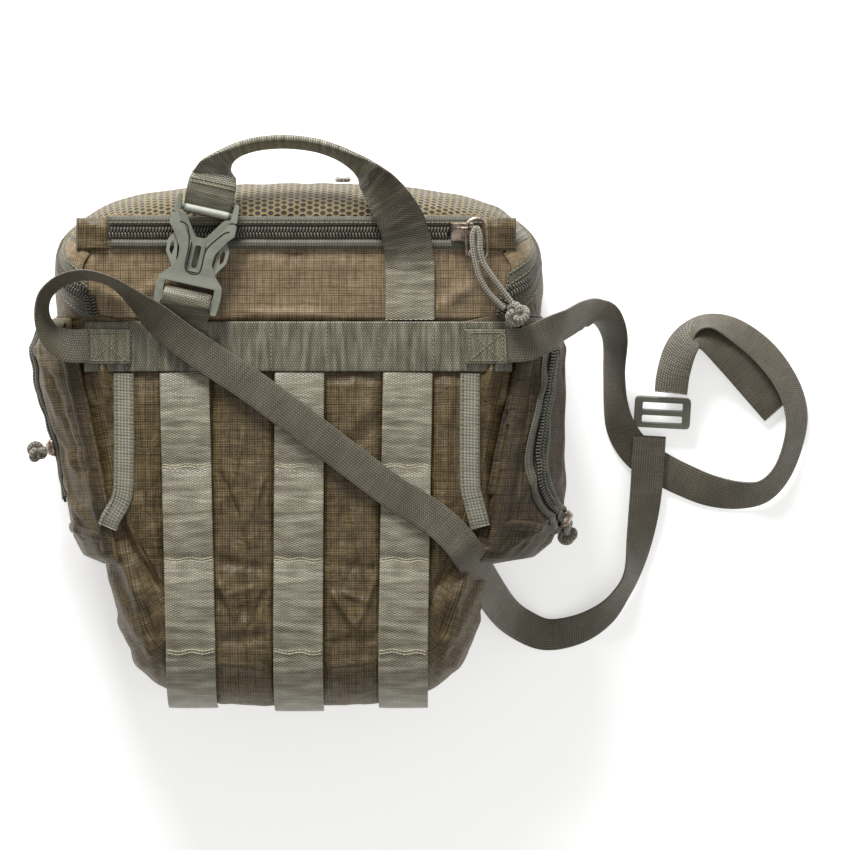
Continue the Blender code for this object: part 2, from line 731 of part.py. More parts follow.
def spring_arm(name, side):
    """A prong beside the stem whose bowed grip shows in the female half's flank."""
    low = SKIN + GAP
    high = BUCKLE_THICK - SKIN - GAP
    half = [(11.6, 13.6), (13.1, 13.8), (13.2, 9.0), (15.7, 4.5), (15.4, -1.5), (12.0, -6.5), (10.2, -10.8),
            (9.2, -10.6), (9.6, -3.0), (10.6, 4.0), (11.3, 9.5)]
    outline = rounded([(side * x, y) for x, y in half], 0.8, 2)
    window = rounded([(side * x, y) for x, y in [(12.6, 4.4), (13.9, 3.4), (13.8, -0.9), (12.2, -3.0),
                                                 (11.7, 1.0)]],
                     0.5, 2)
    piece = solid_plate(name, [outline, window], low, high, "buckle")
    place_buckle(piece)
    return piece


def on_buckle(u, v, w):
    """A point given across, along and above the buckle, in millimetres in the pack's frame."""
    c, s = math.cos(BUCKLE_TURN), math.sin(BUCKLE_TURN)
    return (BUCKLE_AT[0] + u * c - v * s, BUCKLE_AT[1] + u * s + v * c, BUCKLE_LOW + w)


def buckle_webs():
    """The loop that ties the female half to the belt, and the handle's end round the male bar."""
    foot = BELT_TOP + 3 * GAP
    bar_top = BUCKLE_THICK + 0.4
    path = [(-55.4, foot + 3, front(70) + 2.6), (-54.8, foot + 5, front(70) + 9.0),
            on_buckle(0, -26.4, bar_top + 0.2),
            on_buckle(0, -24, bar_top), on_buckle(0, -20.2, bar_top), on_buckle(0, -19.3, bar_top - 1.4),
            on_buckle(0, -18.9, bar_top - 3.0)]
    loop = ribbon("buckle_web_loop", path, 24.0, 1.1, "webbing", BUCKLE_TURN)
    bar_top = BUCKLE_THICK / 2 + 1.6 + GAP
    path = [on_buckle(0, BAR_V - 2.3, bar_top + 0.1), on_buckle(0, BAR_V, bar_top + 0.4),
            on_buckle(0, BAR_V + 4, bar_top), on_buckle(0, BAR_V + 9, bar_top - 1),
            on_buckle(0, BAR_V + 16, bar_top - 2.0)]
    end = ribbon("handle_end_web", path, 23.6, 1.1, "webbing", BUCKLE_TURN)
    return loop, end


# --- handle ------------------------------------------------------------------------------------

HANDLE_BASE = (-2.0, 135.5, front(130) + 3.2)


def handle():
    """The folded webbing arch, and the flat riser from its right foot down to the belt."""
    z = HANDLE_BASE[2]
    arch = [(-41.0, 138.0, z), (-38.5, 144.0, z), (-31, 149.5, z), (-20, 152.3, z), (-5, 152.6, z),
            (10, 151.2, z),
            (22, 147.0, z), (31, 141.0, z), (36.5, 136.5, z)]
    grip = tube("handle_grip", [tuple(p) for p in smooth_curve(arch, 2)], 5.0, "webbing")
    lift = 0.5
    path = [(56.5, BELT_TOP + 3 * GAP, front(63) + lift), (56.5, 78, front(78) + lift + 0.3),
            (56, 93, front(93) + 2.6), (54.5, 102, front(102) + 4.6), (52, 113, front(113) + 4.6),
            (48, 122, front(122) + 3.6), (42, 131.5, front(130) + 2.4)]
    riser = ribbon("handle_riser", list(reversed(path)), WEB - 1, 1.1, "webbing", math.pi)
    return grip, riser


# --- shoulder strap -----------------------------------------------------------------------------

STRAP_CORE = 2.2                 # the strap's plain stand-in is a thin round cord
FLOOR = STRAP_CORE / 2 + 0.4
ARC_ROUTE = [(-105.3, 50.5, 93), (-115, 50.8, 95), (-123.5, 55.5, 97), (-128.3, 66, 98.5), (-126.5, 77, 100),
             (-117, 84.5, 101.5), (-105, 87, 102), (-92, 83.5, 101.5), (-80, 73.5, 100), (-69, 63.5, 98)]
OVER_ROUTE = [(-67.5, 62.2, 97.7), (-57, 53.5, 96.4), (-40, 42, 95), (-23.5, 31, 94), (3, 11.5, 93.6),
              (26.5, -6.5, 93.4), (48, -22.5, 92.8), (66.5, -34, 91.8), (78.5, -44.5, 92.0), (85, -54, 90.8),
              (93.5, -68.5, 70), (103.5, -83.5, 34), (114, -92, 12), (127, -97.3, FLOOR + 1),
              (143, -94.5, FLOOR + 1), (156, -87, FLOOR + 3.5), (165, -76.5, FLOOR + 7),
              (171, -65, FLOOR + 8),
              (175, -46, FLOOR + 6.5), (177.8, -26, FLOOR + 5.5), (179.4, -4, FLOOR + 5),
              (180, 5.5, FLOOR + 5)]
TAIL_ROUTE = [(106.3, 50.5, 92.6), (115, 51.5, 91.5), (125, 56, 88.5), (134, 61, 81), (143, 66, 65),
              (150, 67.8, 46),
              (157, 65.5, 28), (161.5, 55, 16), (161.5, 38, 9), (162.5, 22, 4.5), (166, 8, FLOOR + 1),
              (174.5, -4, FLOOR), (186, -11.5, FLOOR), (199, -18, FLOOR), (212, -23, FLOOR + 0.5),
              (226.5, -25.2, FLOOR + 1.5), (239, -23, FLOOR + 3.5), (248.5, -13, FLOOR + 5),
              (254.5, 3.5, FLOOR + 5.5),
              (255.5, 18, FLOOR + 5), (250.5, 33, FLOOR + 4), (239, 48.5, FLOOR + 3.5),
              (224, 60, FLOOR + 3.5),
              (210.5, 64.5, FLOOR + 4), (200.5, 60.5, FLOOR + 5), (194.8, 50, FLOOR + 5.5),
              (191.7, 36, FLOOR + 7.5), (190.8, 27.5, FLOOR + 8)]
LOOSE_ROUTE = [(190.6, 27.5, FLOOR + 11.5), (192.2, 38, FLOOR + 11.5), (196.5, 50, FLOOR + 10.5),
               (202.5, 57.5, FLOOR + 9.5),
               (210.5, 55.5, FLOOR + 8.5), (222, 45, FLOOR + 5.5), (234, 32, FLOOR + 2.5),
               (246, 18.5, FLOOR + 0.5)]
LOCK_AT = (186.5, 17.5, 6.8)


def strap():
    """The strap's two lengths, plain, along their whole routes, and its loose end."""
    for name, route in (("strap_arc", ARC_ROUTE), ("strap_over", OVER_ROUTE), ("strap_tail", TAIL_ROUTE),
                        ("strap_loose_end", LOOSE_ROUTE)):
        tube(name, [tuple(p) for p in smooth_curve(route, 3)], STRAP_CORE, "webbing")


def ladder_lock():
    """A frame with two side rails, a fixed bar for the strap's end and a gripping tongue bar."""
    outline = slot(-14.5, 14.5, -8.0, 8.0, 2.4)
    upper = slot(-10.4, 10.4, 1.2, 5.4, 0.8)
    lower = slot(-10.4, 10.4, -5.6, -1.4, 0.8)
    piece = solid_plate("ladder_lock", [outline, upper, lower], -2.0, 2.0, "lock")
    bevel(piece, 0.6)
    turn = Matrix.Rotation(math.radians(-3), 4, "Z") @ Matrix.Rotation(math.radians(12), 4, "X")
    piece.matrix_world = Matrix.Translation(at(*LOCK_AT)) @ turn @ piece.matrix_world
    return piece


def build():
    back()
    bag_walls()
    lid_walls()
    linings()
    front_webbing()
    strap_anchors()
    for name, side in (("left_pocket", -1), ("right_pocket", 1)):
        side_pocket(name, side)
        pocket_zip(name + "_coil", side)
    for name, side, fall in (("left_pocket_pull", -1, [(-0.4, -2.0, -2.5), (-0.5, -1.0, -3.0)]),
                             ("right_pocket_pull", 1, [(-0.5, -4, -7), (-3.5, -3, -10)])):
        middle, pieces = pocket_pull(name, side, fall)
        pivot(name + "_pivot", middle, pieces)
    lid_pocket_zip()
    slider, pull = front_pull()
    pivot("front_slider_pivot", (SLIDER_X, ZIP_Y, front(ZIP_Y)), slider)
    pivot("front_pull_pivot", (RING_X - 5.1, ZIP_Y, RING_Z), pull)
    for name, x in (("left_main", 22.0), ("right_main", 34.5)):
        slider, loop = main_pull(name, x)
        pivot(name + "_pivot", (x, *ZIP_REAR), [slider, loop])
    female_half()
    pivot("buckle_pivot", (*BUCKLE_AT, BUCKLE_LOW), [male_half()])
    for name, side in (("left_spring_arm", -1), ("right_spring_arm", 1)):
        pivot(name + "_pivot", on_buckle(side * 12.4, 13.0, 0), [spring_arm(name, side)])
    buckle_webs()
    grip, riser = handle()
    pivot("handle_pivot", HANDLE_BASE, [grip])
    strap()
    ladder_lock()


build()
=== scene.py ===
# %% [markdown]
# # A chest pack for binoculars, lying on its back
# This lesson dresses a finished CAD model of a small padded pack. The CAD model is the
# fixed frame: it says where everything is, and how it moves. Here each plain solid gets the
# look of the real thing: folded ripstop, ribbed webbing, zips with teeth, moulded buckles.
# Almost every piece is one of two ideas, worked out as whole numpy arrays: a grid of points
# that depends on two numbers, or a profile carried along a path.

import bpy
import numpy as np
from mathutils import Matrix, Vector


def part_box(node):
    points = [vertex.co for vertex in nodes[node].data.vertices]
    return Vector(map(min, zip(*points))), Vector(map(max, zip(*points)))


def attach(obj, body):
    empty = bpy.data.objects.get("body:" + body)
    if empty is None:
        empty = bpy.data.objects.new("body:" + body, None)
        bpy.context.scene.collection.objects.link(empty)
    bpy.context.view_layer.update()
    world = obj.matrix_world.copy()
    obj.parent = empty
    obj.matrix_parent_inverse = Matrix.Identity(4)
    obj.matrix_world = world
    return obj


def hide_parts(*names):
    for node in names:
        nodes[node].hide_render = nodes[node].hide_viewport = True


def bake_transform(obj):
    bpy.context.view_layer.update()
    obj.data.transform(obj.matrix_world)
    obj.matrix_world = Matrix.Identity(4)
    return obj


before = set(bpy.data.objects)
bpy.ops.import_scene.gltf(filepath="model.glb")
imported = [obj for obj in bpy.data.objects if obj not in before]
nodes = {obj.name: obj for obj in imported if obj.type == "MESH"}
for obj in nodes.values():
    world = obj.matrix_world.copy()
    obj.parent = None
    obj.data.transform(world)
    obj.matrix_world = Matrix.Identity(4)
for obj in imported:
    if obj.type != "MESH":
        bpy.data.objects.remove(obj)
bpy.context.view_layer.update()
MM = 0.001

# %% [markdown]
# ## The room and the camera
# A pack like this is shown from straight above on a pale table. A long lens keeps both sides
# of it from leaning outwards, so the camera stands far off. A big soft lamp above the handle end
# rakes across the cloth and brings out its folds, and a weaker one fills the shadows.

# %% Camera, floor and lamps
DISTANCE = 2.5
SEEN_WIDTH = 0.425
camera_data = bpy.data.cameras.new("camera")
camera_data.lens = camera_data.sensor_width * DISTANCE / SEEN_WIDTH
camera = bpy.data.objects.new("camera", camera_data)
camera.location = (0.064, 0.011, 0.088 + DISTANCE)
bpy.context.scene.collection.objects.link(camera)
bpy.context.scene.camera = camera
bpy.context.scene.view_settings.view_transform = "Standard"


def linear(code):
    """A hex colour as linear red, green, blue and 1: each channel c becomes ((c + 0.055) / 1.055) to the 2.4."""
    channels = [int(code[i:i + 2], 16) / 255 for i in (1, 3, 5)]
    return tuple(c / 12.92 if c < 0.04045 else ((c + 0.055) / 1.055) ** 2.4 for c in channels) + (1.0,)


def add_node(tree, kind, inputs=(), **settings):
    """Adds one shader node: inputs are values or other nodes' outputs, settings are its own properties."""
    node = tree.nodes.new("ShaderNode" + kind)
    for name, value in settings.items():
        setattr(node, name, value)
    for name, value in dict(inputs).items():
        if isinstance(value, bpy.types.NodeSocket):
            tree.links.new(value, node.inputs[name])
        else:
            node.inputs[name].default_value = value
    return node


def new_material(name, **sockets):
    """A material whose shader has its constant numbers and colours set on its own sockets."""
    material = bpy.data.materials.new(name)
    material.use_nodes = True
    shader = material.node_tree.nodes["Principled BSDF"]
    for socket, value in sockets.items():
        shader.inputs[socket.replace("_", " ")].default_value = value
    return material, material.node_tree, shader


def lamp(name, place, size, watts, aim):
    """A square soft lamp that looks from its place towards aim."""
    data = bpy.data.lights.new(name, "AREA")
    data.size = size
    data.energy = watts
    lamp_object = bpy.data.objects.new(name, data)
    lamp_object.location = place
    lamp_object.rotation_euler = (Vector(aim) - lamp_object.location).to_track_quat("-Z", "Y").to_euler()
    bpy.context.scene.collection.objects.link(lamp_object)


lamp("key_lamp", (-0.25, 1.15, 0.62), 0.45, 25, (0.03, 0.0, 0.06))
lamp("fill_lamp", (0.5, -0.5, 1.5), 0.9, 4.5, (0.05, 0.0, 0.0))
world = bpy.data.worlds.new("studio")
world.use_nodes = True
world.node_tree.nodes["Background"].inputs["Color"].default_value = (1, 1, 1, 1)
world.node_tree.nodes["Background"].inputs["Strength"].default_value = 0.3
bpy.context.scene.world = world
print("Lens", round(camera_data.lens), "mm, seen width", SEEN_WIDTH, "m")

# %% [markdown]
# ## From a grid of points to a mesh
# Every new piece is a table of points, rows by columns. One helper turns the table into faces,
# gives it a UV map in real millimetres, so that a weave has its true size, and turns the faces
# outwards. A second helper bends a smooth line through a few points, and a third carries a
# profile along such a line.

# %% Helpers for surfaces
def surface(name, grid, uv=None, around=False, ends=False, inside=None):
    """A mesh from a (rows, columns, 3) table in mm; faces turn away from the point inside."""
    rows, columns = grid.shape[:2]
    index = np.arange(rows * columns).reshape(rows, columns)
    if around:
        index = np.concatenate([index, index[:, :1]], axis=1)
    wide = index.shape[1]
    corner = np.arange(rows * wide).reshape(rows, wide)
    slots = (slice(None, -1), slice(1, None))
    order = [(0, 0), (0, 1), (1, 1), (1, 0)]
    quads = np.stack([index[slots[a], slots[b]] for a, b in order], axis=-1).reshape(-1, 4)
    corners = np.stack([corner[slots[a], slots[b]] for a, b in order], axis=-1).reshape(-1, 4)
    points = grid.reshape(-1, 3)
    middle = points.mean(axis=0) if inside is None else np.array(inside, float)
    a, b, c, d = (points[quads[:, i]] for i in range(4))
    outward = np.sum(np.cross(c - a, d - b) * ((a + b + c + d) / 4 - middle))
    if outward < 0:
        quads, corners = quads[:, ::-1], corners[:, ::-1]
    faces = quads.tolist()
    if ends:
        first, last = index[0, :columns], index[-1, :columns][::-1]
        faces += [first[::-1].tolist(), last[::-1].tolist()] if outward < 0 else [first.tolist(), last.tolist()]
    mesh = bpy.data.meshes.new(name)
    mesh.from_pydata(points * MM, [], faces)
    if uv is None:
        uv = measured_uv(grid, around)
    layer = mesh.uv_layers.new(name="millimetres")
    values = np.zeros((len(mesh.loops), 2), np.float32)
    values[:corners.size] = uv.reshape(-1, 2)[corners.reshape(-1)]
    layer.data.foreach_set("uv", values.reshape(-1))
    mesh.polygons.foreach_set("use_smooth", [True] * len(mesh.polygons))
    mesh.update()
    return mesh


def measured_uv(grid, around):
    """UV in millimetres: the mean length run along the columns, and along the rows."""
    if around:
        grid = np.concatenate([grid, grid[:, :1]], axis=1)
    across = np.linalg.norm(np.diff(grid, axis=1), axis=2).mean(axis=0)
    down = np.linalg.norm(np.diff(grid, axis=0), axis=2).mean(axis=1)
    u = np.concatenate([[0], np.cumsum(across)])
    v = np.concatenate([[0], np.cumsum(down)])
    return np.stack(np.broadcast_arrays(u[None, :] - u[-1] / 2, v[:, None]), axis=-1)


def smooth(points, count):
    """A Catmull-Rom curve through the points, spaced evenly by length; columns past the third ride along."""
    p = np.array(points, float)
    p = np.vstack([2 * p[0] - p[1], p, 2 * p[-1] - p[-2]])
    t = np.linspace(0, len(p) - 3 - 1e-9, max(count * 6, 60))
    i = t.astype(int)
    f = (t - i)[:, None]
    a, b, c, d = p[i], p[i + 1], p[i + 2], p[i + 3]
    curve = 0.5 * (2 * b + (c - a) * f + (2 * a - 5 * b + 4 * c - d) * f ** 2 + (3 * b - a - 3 * c + d) * f ** 3)
    run = np.concatenate([[0], np.cumsum(np.linalg.norm(np.diff(curve[:, :3], axis=0), axis=1))])
    even = np.linspace(0, run[-1], count)
    return np.stack([np.interp(even, run, column) for column in curve.T], axis=1)


def unit(vectors):
    return vectors / np.maximum(np.linalg.norm(vectors, axis=-1, keepdims=True), 1e-9)


def directions(path, roll=0.0, up=(0, 0, 1)):
    """Along, across and outward at each point: across is level, then rolled about the path by degrees."""
    along = unit(np.gradient(path, axis=0))
    level = unit(np.cross(np.array(up, float), along))
    lift = np.cross(along, level)
    angle = np.radians(np.broadcast_to(roll, len(path)))[:, None]
    across = np.cos(angle) * level + np.sin(angle) * lift
    return along, across, np.cross(along, across)


def sweep(name, path, profile, roll=0.0, wide=1.0, high=1.0, up=(0, 0, 1), across=None, ends=True):
    """Carries a closed profile along a path: point = path + a * wide * across + n * high * outward."""
    along, side, out = directions(path, roll, up)
    if across is not None:
        side = unit(across - along * np.sum(along * across, axis=1, keepdims=True))
        out = np.cross(along, side)
    wide = np.broadcast_to(wide, len(path))[:, None, None]
    high = np.broadcast_to(high, len(path))[:, None, None]
    a = profile[None, :, 0, None]
    n = profile[None, :, 1, None]
    grid = path[:, None] + a * wide * side[:, None] + n * high * out[:, None]
    run = np.concatenate([[0], np.cumsum(np.linalg.norm(np.diff(path, axis=0), axis=1))])
    turn = np.concatenate([profile[:, 0], profile[:1, 0]])
    rim = np.concatenate([[0], np.cumsum(np.linalg.norm(np.diff(np.vstack([profile, profile[:1]]),
            axis=0), axis=1))])
    u = turn * wide[:, :, 0] if profile[:, 0].ptp() > 4 * profile[:, 1].ptp() or wide.max() > 1 else rim
    uv = np.stack(np.broadcast_arrays(u, run[:, None]), axis=-1)
    return surface(name, grid, uv, around=True, ends=ends)


def flat_oval(count=20):
    """Webbing's section, 1 wide and 1 high: a superellipse with nearly flat faces and round selvedges."""
    turn = np.linspace(0, 2 * np.pi, count, endpoint=False) + np.pi / count
    a = np.sign(np.cos(turn)) * np.abs(np.cos(turn)) ** 0.6 / 2
    n = np.sign(np.sin(turn)) * np.abs(np.sin(turn)) ** 0.35 / 2
    return np.stack([a, n], axis=1)


def circle(count=12):
    turn = np.linspace(0, 2 * np.pi, count, endpoint=False)
    return np.stack([np.cos(turn), np.sin(turn)], axis=1) / 2


def strew(name, grain, places, along, across, out):
    """Copies of one small shape (points, faces) at many places, each turned to its own three directions."""
    points, faces = grain
    turned = (points[None, :, 0, None] * along[:, None] + points[None, :, 1, None] * across[:, None]
              + points[None, :, 2, None] * out[:, None]) + places[:, None]
    index = np.array(faces)[None] + (np.arange(len(places)) * len(points))[:, None, None]
    mesh = bpy.data.meshes.new(name)
    mesh.from_pydata(turned.reshape(-1, 3) * MM, [], index.reshape(-1, 4).tolist())
    mesh.polygons.foreach_set("use_smooth", [True] * len(mesh.polygons))
    mesh.update()
    return mesh


def pillow(long, wide, high):
    """A small rounded block as points and faces: a three by three by three cage drawn in at its corners."""
    steps = np.array([-1.0, -0.55, 0.55, 1.0])
    a, b = np.meshgrid(steps, steps, indexing="ij")
    round_off = 1 - 0.22 * (np.abs(a) > 0.9) * (np.abs(b) > 0.9)
    dome = np.where((np.abs(a) < 0.9) & (np.abs(b) < 0.9), 1.0, 0.25)
    top = np.stack([a * round_off * long / 2, b * round_off * wide / 2, dome * high], axis=-1).reshape(-1, 3)
    foot = top * [1, 1, 0] - [0, 0, 0.3 * high]
    rim = [0, 4, 8, 12, 13, 14, 15, 11, 7, 3, 2, 1]
    grid = np.arange(16).reshape(4, 4)
    faces = np.stack([grid[:-1, :-1], grid[1:, :-1], grid[1:, 1:], grid[:-1, 1:]], axis=-1).reshape(-1,
            4).tolist()
    faces += [[p, p + 16, q + 16, q] for p, q in zip(rim, rim[1:] + rim[:1])]
    faces += [[c + 16 for c in reversed(face)] for face in faces[:9]]
    return np.vstack([top, foot]), faces


def show(name, mesh, material, body, replaces=()):
    """Puts a mesh into the scene with its material, its body and the CAD nodes it stands for."""
    mesh.materials.append(material)
    piece = bpy.data.objects.new(name, mesh)
    bpy.context.scene.collection.objects.link(piece)
    if body:
        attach(piece, body)
    if replaces:
        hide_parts(*replaces)
    return piece


def thicken(piece, thickness):
    """Gives a sheet its thickness, inwards from the face that shows."""
    solid = piece.modifiers.new("thickness", "SOLIDIFY")
    solid.thickness = thickness * MM
    solid.offset = -1.0
    return piece


print("Helpers ready")

# %% [markdown]
# ## Webbing
# Webbing is nylon woven on a narrow loom: filling yarns run across it and warp yarns cross
# over and under them, so the face is a field of small grains. The filament is shiny and the tension is never
# even, so some rows catch silvery light while the rows beside them stay dark; here those light and dark rows are
# painted into the colour, a painted sheen. The pattern is drawn from the UV map in
# millimetres, so that it turns with the webbing. A real grain is 0.9 mm, which is too fine to show
# from this far, so it is drawn at 1.2 mm.

# %% Webbing materials
def webbing(name, light, middle, dark, rib=1.2, pair=1.25, slant=0.0, shine=0.4, painted_sheen=0.55,
            streak_pitch=1.6, ribbed=0.0,
            painted_shade_span=None):
    """Grains: two ping-pong waves, the second shared between ribs and warps by ribbed, plus streaks that run across
    as painted sheen; between two distances along it in mm, given last, its colour is darkened as painted shade."""
    material, tree, shader = new_material(name, Roughness=shine, Sheen_Weight=0.25, Sheen_Roughness=0.4,
                                          Specular_IOR_Level=0.6)
    shader.inputs["Sheen Tint"].default_value = linear("#d8d6c8")
    uv = add_node(tree, "UVMap", uv_map="millimetres")
    split = add_node(tree, "SeparateXYZ", {0: uv.outputs[0]})
    column = add_node(tree, "Math", {0: split.outputs[0], 1: pair}, operation="DIVIDE")
    whole = add_node(tree, "Math", {0: column.outputs[0]}, operation="FLOOR")
    lean = add_node(tree, "Math", {0: whole.outputs[0], 1: 0.5 + slant}, operation="MULTIPLY")
    row = add_node(tree, "Math", {0: split.outputs[1], 1: rib}, operation="DIVIDE")
    row = add_node(tree, "Math", {0: row.outputs[0], 1: lean.outputs[0]}, operation="ADD")
    row_wave = add_node(tree, "Math", {0: row.outputs[0], 1: 0.5}, operation="PINGPONG")
    column_wave = add_node(tree, "Math", {0: column.outputs[0], 1: 0.5}, operation="PINGPONG")
    part = add_node(tree, "Math", {0: column_wave.outputs[0], 1: 1 - ribbed, 2: ribbed * 0.42},
                    operation="MULTIPLY_ADD")
    grain = add_node(tree, "Math", {0: row_wave.outputs[0], 1: part.outputs[0]}, operation="MULTIPLY")
    height = add_node(tree, "Math", {0: grain.outputs[0], 1: 0.5}, operation="POWER")
    stretch = add_node(tree, "Mapping", {"Vector": uv.outputs[0], "Scale": (0.045, 1.0 / streak_pitch, 1.0)})
    rows = add_node(tree, "TexNoise", {"Vector": stretch.outputs[0], "Scale": 1.0, "Detail": 2.5,
                                       "Roughness": 0.6})
    cloud = add_node(tree, "TexNoise", {"Vector": uv.outputs[0], "Scale": 0.09, "Detail": 2.0})
    # Painted sheen: rows of light and dark across the webbing, drawn into the colour.
    tone = add_node(tree, "Math", {0: rows.outputs[0], 1: painted_sheen * 2, 2: -painted_sheen}, operation="MULTIPLY_ADD")
    tone = add_node(tree, "Math", {0: height.outputs[0], 1: 1.05, 2: tone.outputs[0]}, operation="MULTIPLY_ADD")
    tone = add_node(tree, "Math", {0: cloud.outputs[0], 1: 0.3, 2: tone.outputs[0]}, operation="MULTIPLY_ADD")
    # Painted shade: the colour darkens between two distances along the webbing.
    if painted_shade_span:
        painted_shade_drop = add_node(tree, "MapRange", {"Value": split.outputs[1], "From Min": painted_shade_span[0],
                                            "From Max": painted_shade_span[1],
                                            "To Min": 0.0, "To Max": -0.42})
        tone = add_node(tree, "Math", {0: tone.outputs[0], 1: painted_shade_drop.outputs[0]}, operation="ADD")
    ramp = add_node(tree, "ValToRGB", {0: tone.outputs[0]})
    ramp.color_ramp.elements[0].position = 0.08
    ramp.color_ramp.elements[0].color = linear(dark)
    ramp.color_ramp.elements[1].position = 0.88
    ramp.color_ramp.elements[1].color = linear(light)
    ramp.color_ramp.elements.new(0.48).color = linear(middle)
    relief = add_node(tree, "Math", {0: rows.outputs[0], 1: 0.6, 2: height.outputs[0]}, operation="MULTIPLY_ADD")
    bump = add_node(tree, "Bump", {"Height": relief.outputs[0], "Distance": 0.0005, "Strength": 0.85})
    tree.links.new(ramp.outputs[0], shader.inputs["Base Color"])
    tree.links.new(bump.outputs[0], shader.inputs["Normal"])
    return material


strap_nylon = webbing("strap_webbing_nylon", "#8a8474", "#5f5847", "#241d12", slant=0.17, painted_sheen=0.12, shine=0.45)
wide_nylon = webbing("wide_webbing_nylon", "#cfccb8", "#857e6a", "#362f20", painted_sheen=0.42, streak_pitch=3.0,
                     shine=0.33, ribbed=0.7)
# The riser's upper end, 26 to 46 mm along it, is darkened by painted shade.
riser_nylon = webbing("riser_webbing_painted_shade", "#cfccb8", "#857e6a", "#362f20", painted_sheen=0.42,
                      streak_pitch=3.0, shine=0.33,
                      ribbed=0.7, painted_shade_span=(26, 46))
belt_nylon = webbing("belt_webbing_nylon", "#a3a08c", "#6a6654", "#2a251a", painted_sheen=0.5, streak_pitch=2.6,
                     shine=0.4, ribbed=0.45)
knit_tape = webbing("knitted_edge_tape", "#bebcae", "#8c8979", "#4c4738", rib=1.5, pair=1.6, slant=0.4,
                    painted_sheen=0.2, shine=0.55)
print("Webbing grains drawn at 1.2 mm")

# %% [markdown]
# ## The shoulder strap
# The strap is one length of 17 mm webbing that leaves the left anchor, loops beside the pack,
# crosses the front, runs down off the corner onto the table and up to a ladder lock. A second
# length comes from the right anchor, loops on the table and comes back through the lock, where its
# stitched end lies free. Webbing bends easily about its width, and hardly at all in its plane, so on
# each curve it stands up on one edge. So every point of the route has a roll in degrees.

# %% Strap routes
ARC = [(-103.5, 50.5, 92.9, 0), (-114, 50.6, 94.6, 16), (-122.5, 55.4, 97.2, 50), (-126.6, 65, 99.4, 68),
       (-125, 75.6, 100.4, 72),
       (-116.5, 83.0, 100.8, 72), (-105, 85.6, 101, 74), (-92, 82.2, 100.8, 74), (-80, 73.5, 100, 58),
       (-69, 63.5, 98, 28)]
OVER = [(-57, 53.5, 96.7, 10), (-40, 42, 95.4, 0), (-23.5, 31, 94.6, 0), (3, 11.5, 94.4, 0),
        (26.5, -6.5, 94.0, 0),
        (48, -22.5, 93.6, 0), (66.5, -34, 92.6, -4), (78.5, -44.5, 92.4, -8), (86.5, -55, 89, -10),
        (94.5, -69, 68, -14),
        (104, -83.5, 34, -10), (114, -92, 12, 0), (127, -97.3, 3.6, 14), (143, -94.5, 4.5, 26),
        (156, -87, 6.2, 42),
        (165, -76.5, 8.4, 58), (171, -65, 9.2, 58), (175, -46, 8.2, 34), (177.8, -26, 7.2, 14),
        (179.4, -4, 6.6, 4),
        (180, 5.5, 6.4, 0)]
TAIL = [(104.5, 50.5, 92.6, 0), (115, 51.5, 91.8, 0), (125, 56, 88.8, 12), (134, 61, 81, 40), (143, 66, 65, 40),
        (150, 67.8, 46, 36), (157, 65.5, 28, 34), (161.5, 55, 16, 44), (161.5, 38, 10.5, 52),
        (162.5, 22, 8.5, 46),
        (166, 8, 5.5, 26), (174.5, -4, 2.6, 6), (186, -11.5, 2.0, 0), (199, -18, 2.4, 8), (212, -23, 3.6, 18),
        (226.5, -25.2, 5.2, 34), (239, -23, 7.2, 46), (248.5, -13, 8.2, 52), (254.5, 3.5, 8.2, 50),
        (255.5, 18, 7.4, 44),
        (250.5, 33, 6.4, 40), (239, 48.5, 5.6, 36), (224, 60, 5.8, 44), (210.5, 64.5, 7.6, 64),
        (200.5, 60.5, 8.4, 62),
        (194.8, 50, 8.4, 34), (191.7, 36, 9.3, 10), (190.8, 27.5, 9.6, 0)]
LOOSE = [(190.6, 27.5, 13.2, 0), (192.2, 38, 13.2, -14), (196.5, 50, 13.0, -30), (202.5, 57.5, 12.6, -38),
         (210.5, 55.5, 11.8, -30), (222, 45, 9.0, -14), (234, 32, 5.6, -4), (246, 18.5, 2.6, 0)]


def strap_piece(name, route, count, body, replaces):
    """The flat oval carried along a route whose fourth number is the roll; returns the piece and its centre line."""
    line = smooth(route, count)
    mesh = sweep(name, line[:, :3], flat_oval(), roll=line[:, 3], wide=17.0, high=1.3)
    piece = show(name, mesh, strap_nylon, body, replaces)
    length = np.linalg.norm(np.diff(line[:, :3], axis=0), axis=1).sum()
    return piece, line[:, :3] * MM, length * MM


long_strap, long_line, long_length = strap_piece("shoulder_strap", ARC + OVER, 420, None, ())
tail_strap, tail_line, tail_length = strap_piece("shoulder_strap_tail", TAIL, 360, None, ())
loose_strap, loose_line, loose_length = strap_piece("shoulder_strap_loose_end", LOOSE, 110, None, ())
for strap, replaced in ((long_strap, ("strap_arc", "strap_over")), (tail_strap, ("strap_tail",)),
                        (loose_strap, ("strap_loose_end",))):
    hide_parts(*replaced)
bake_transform(long_strap)
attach(tail_strap, "pack")
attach(loose_strap, "pack")
print("Strap lengths in mm:", [round(n / MM) for n in (long_length, tail_length, loose_length)])
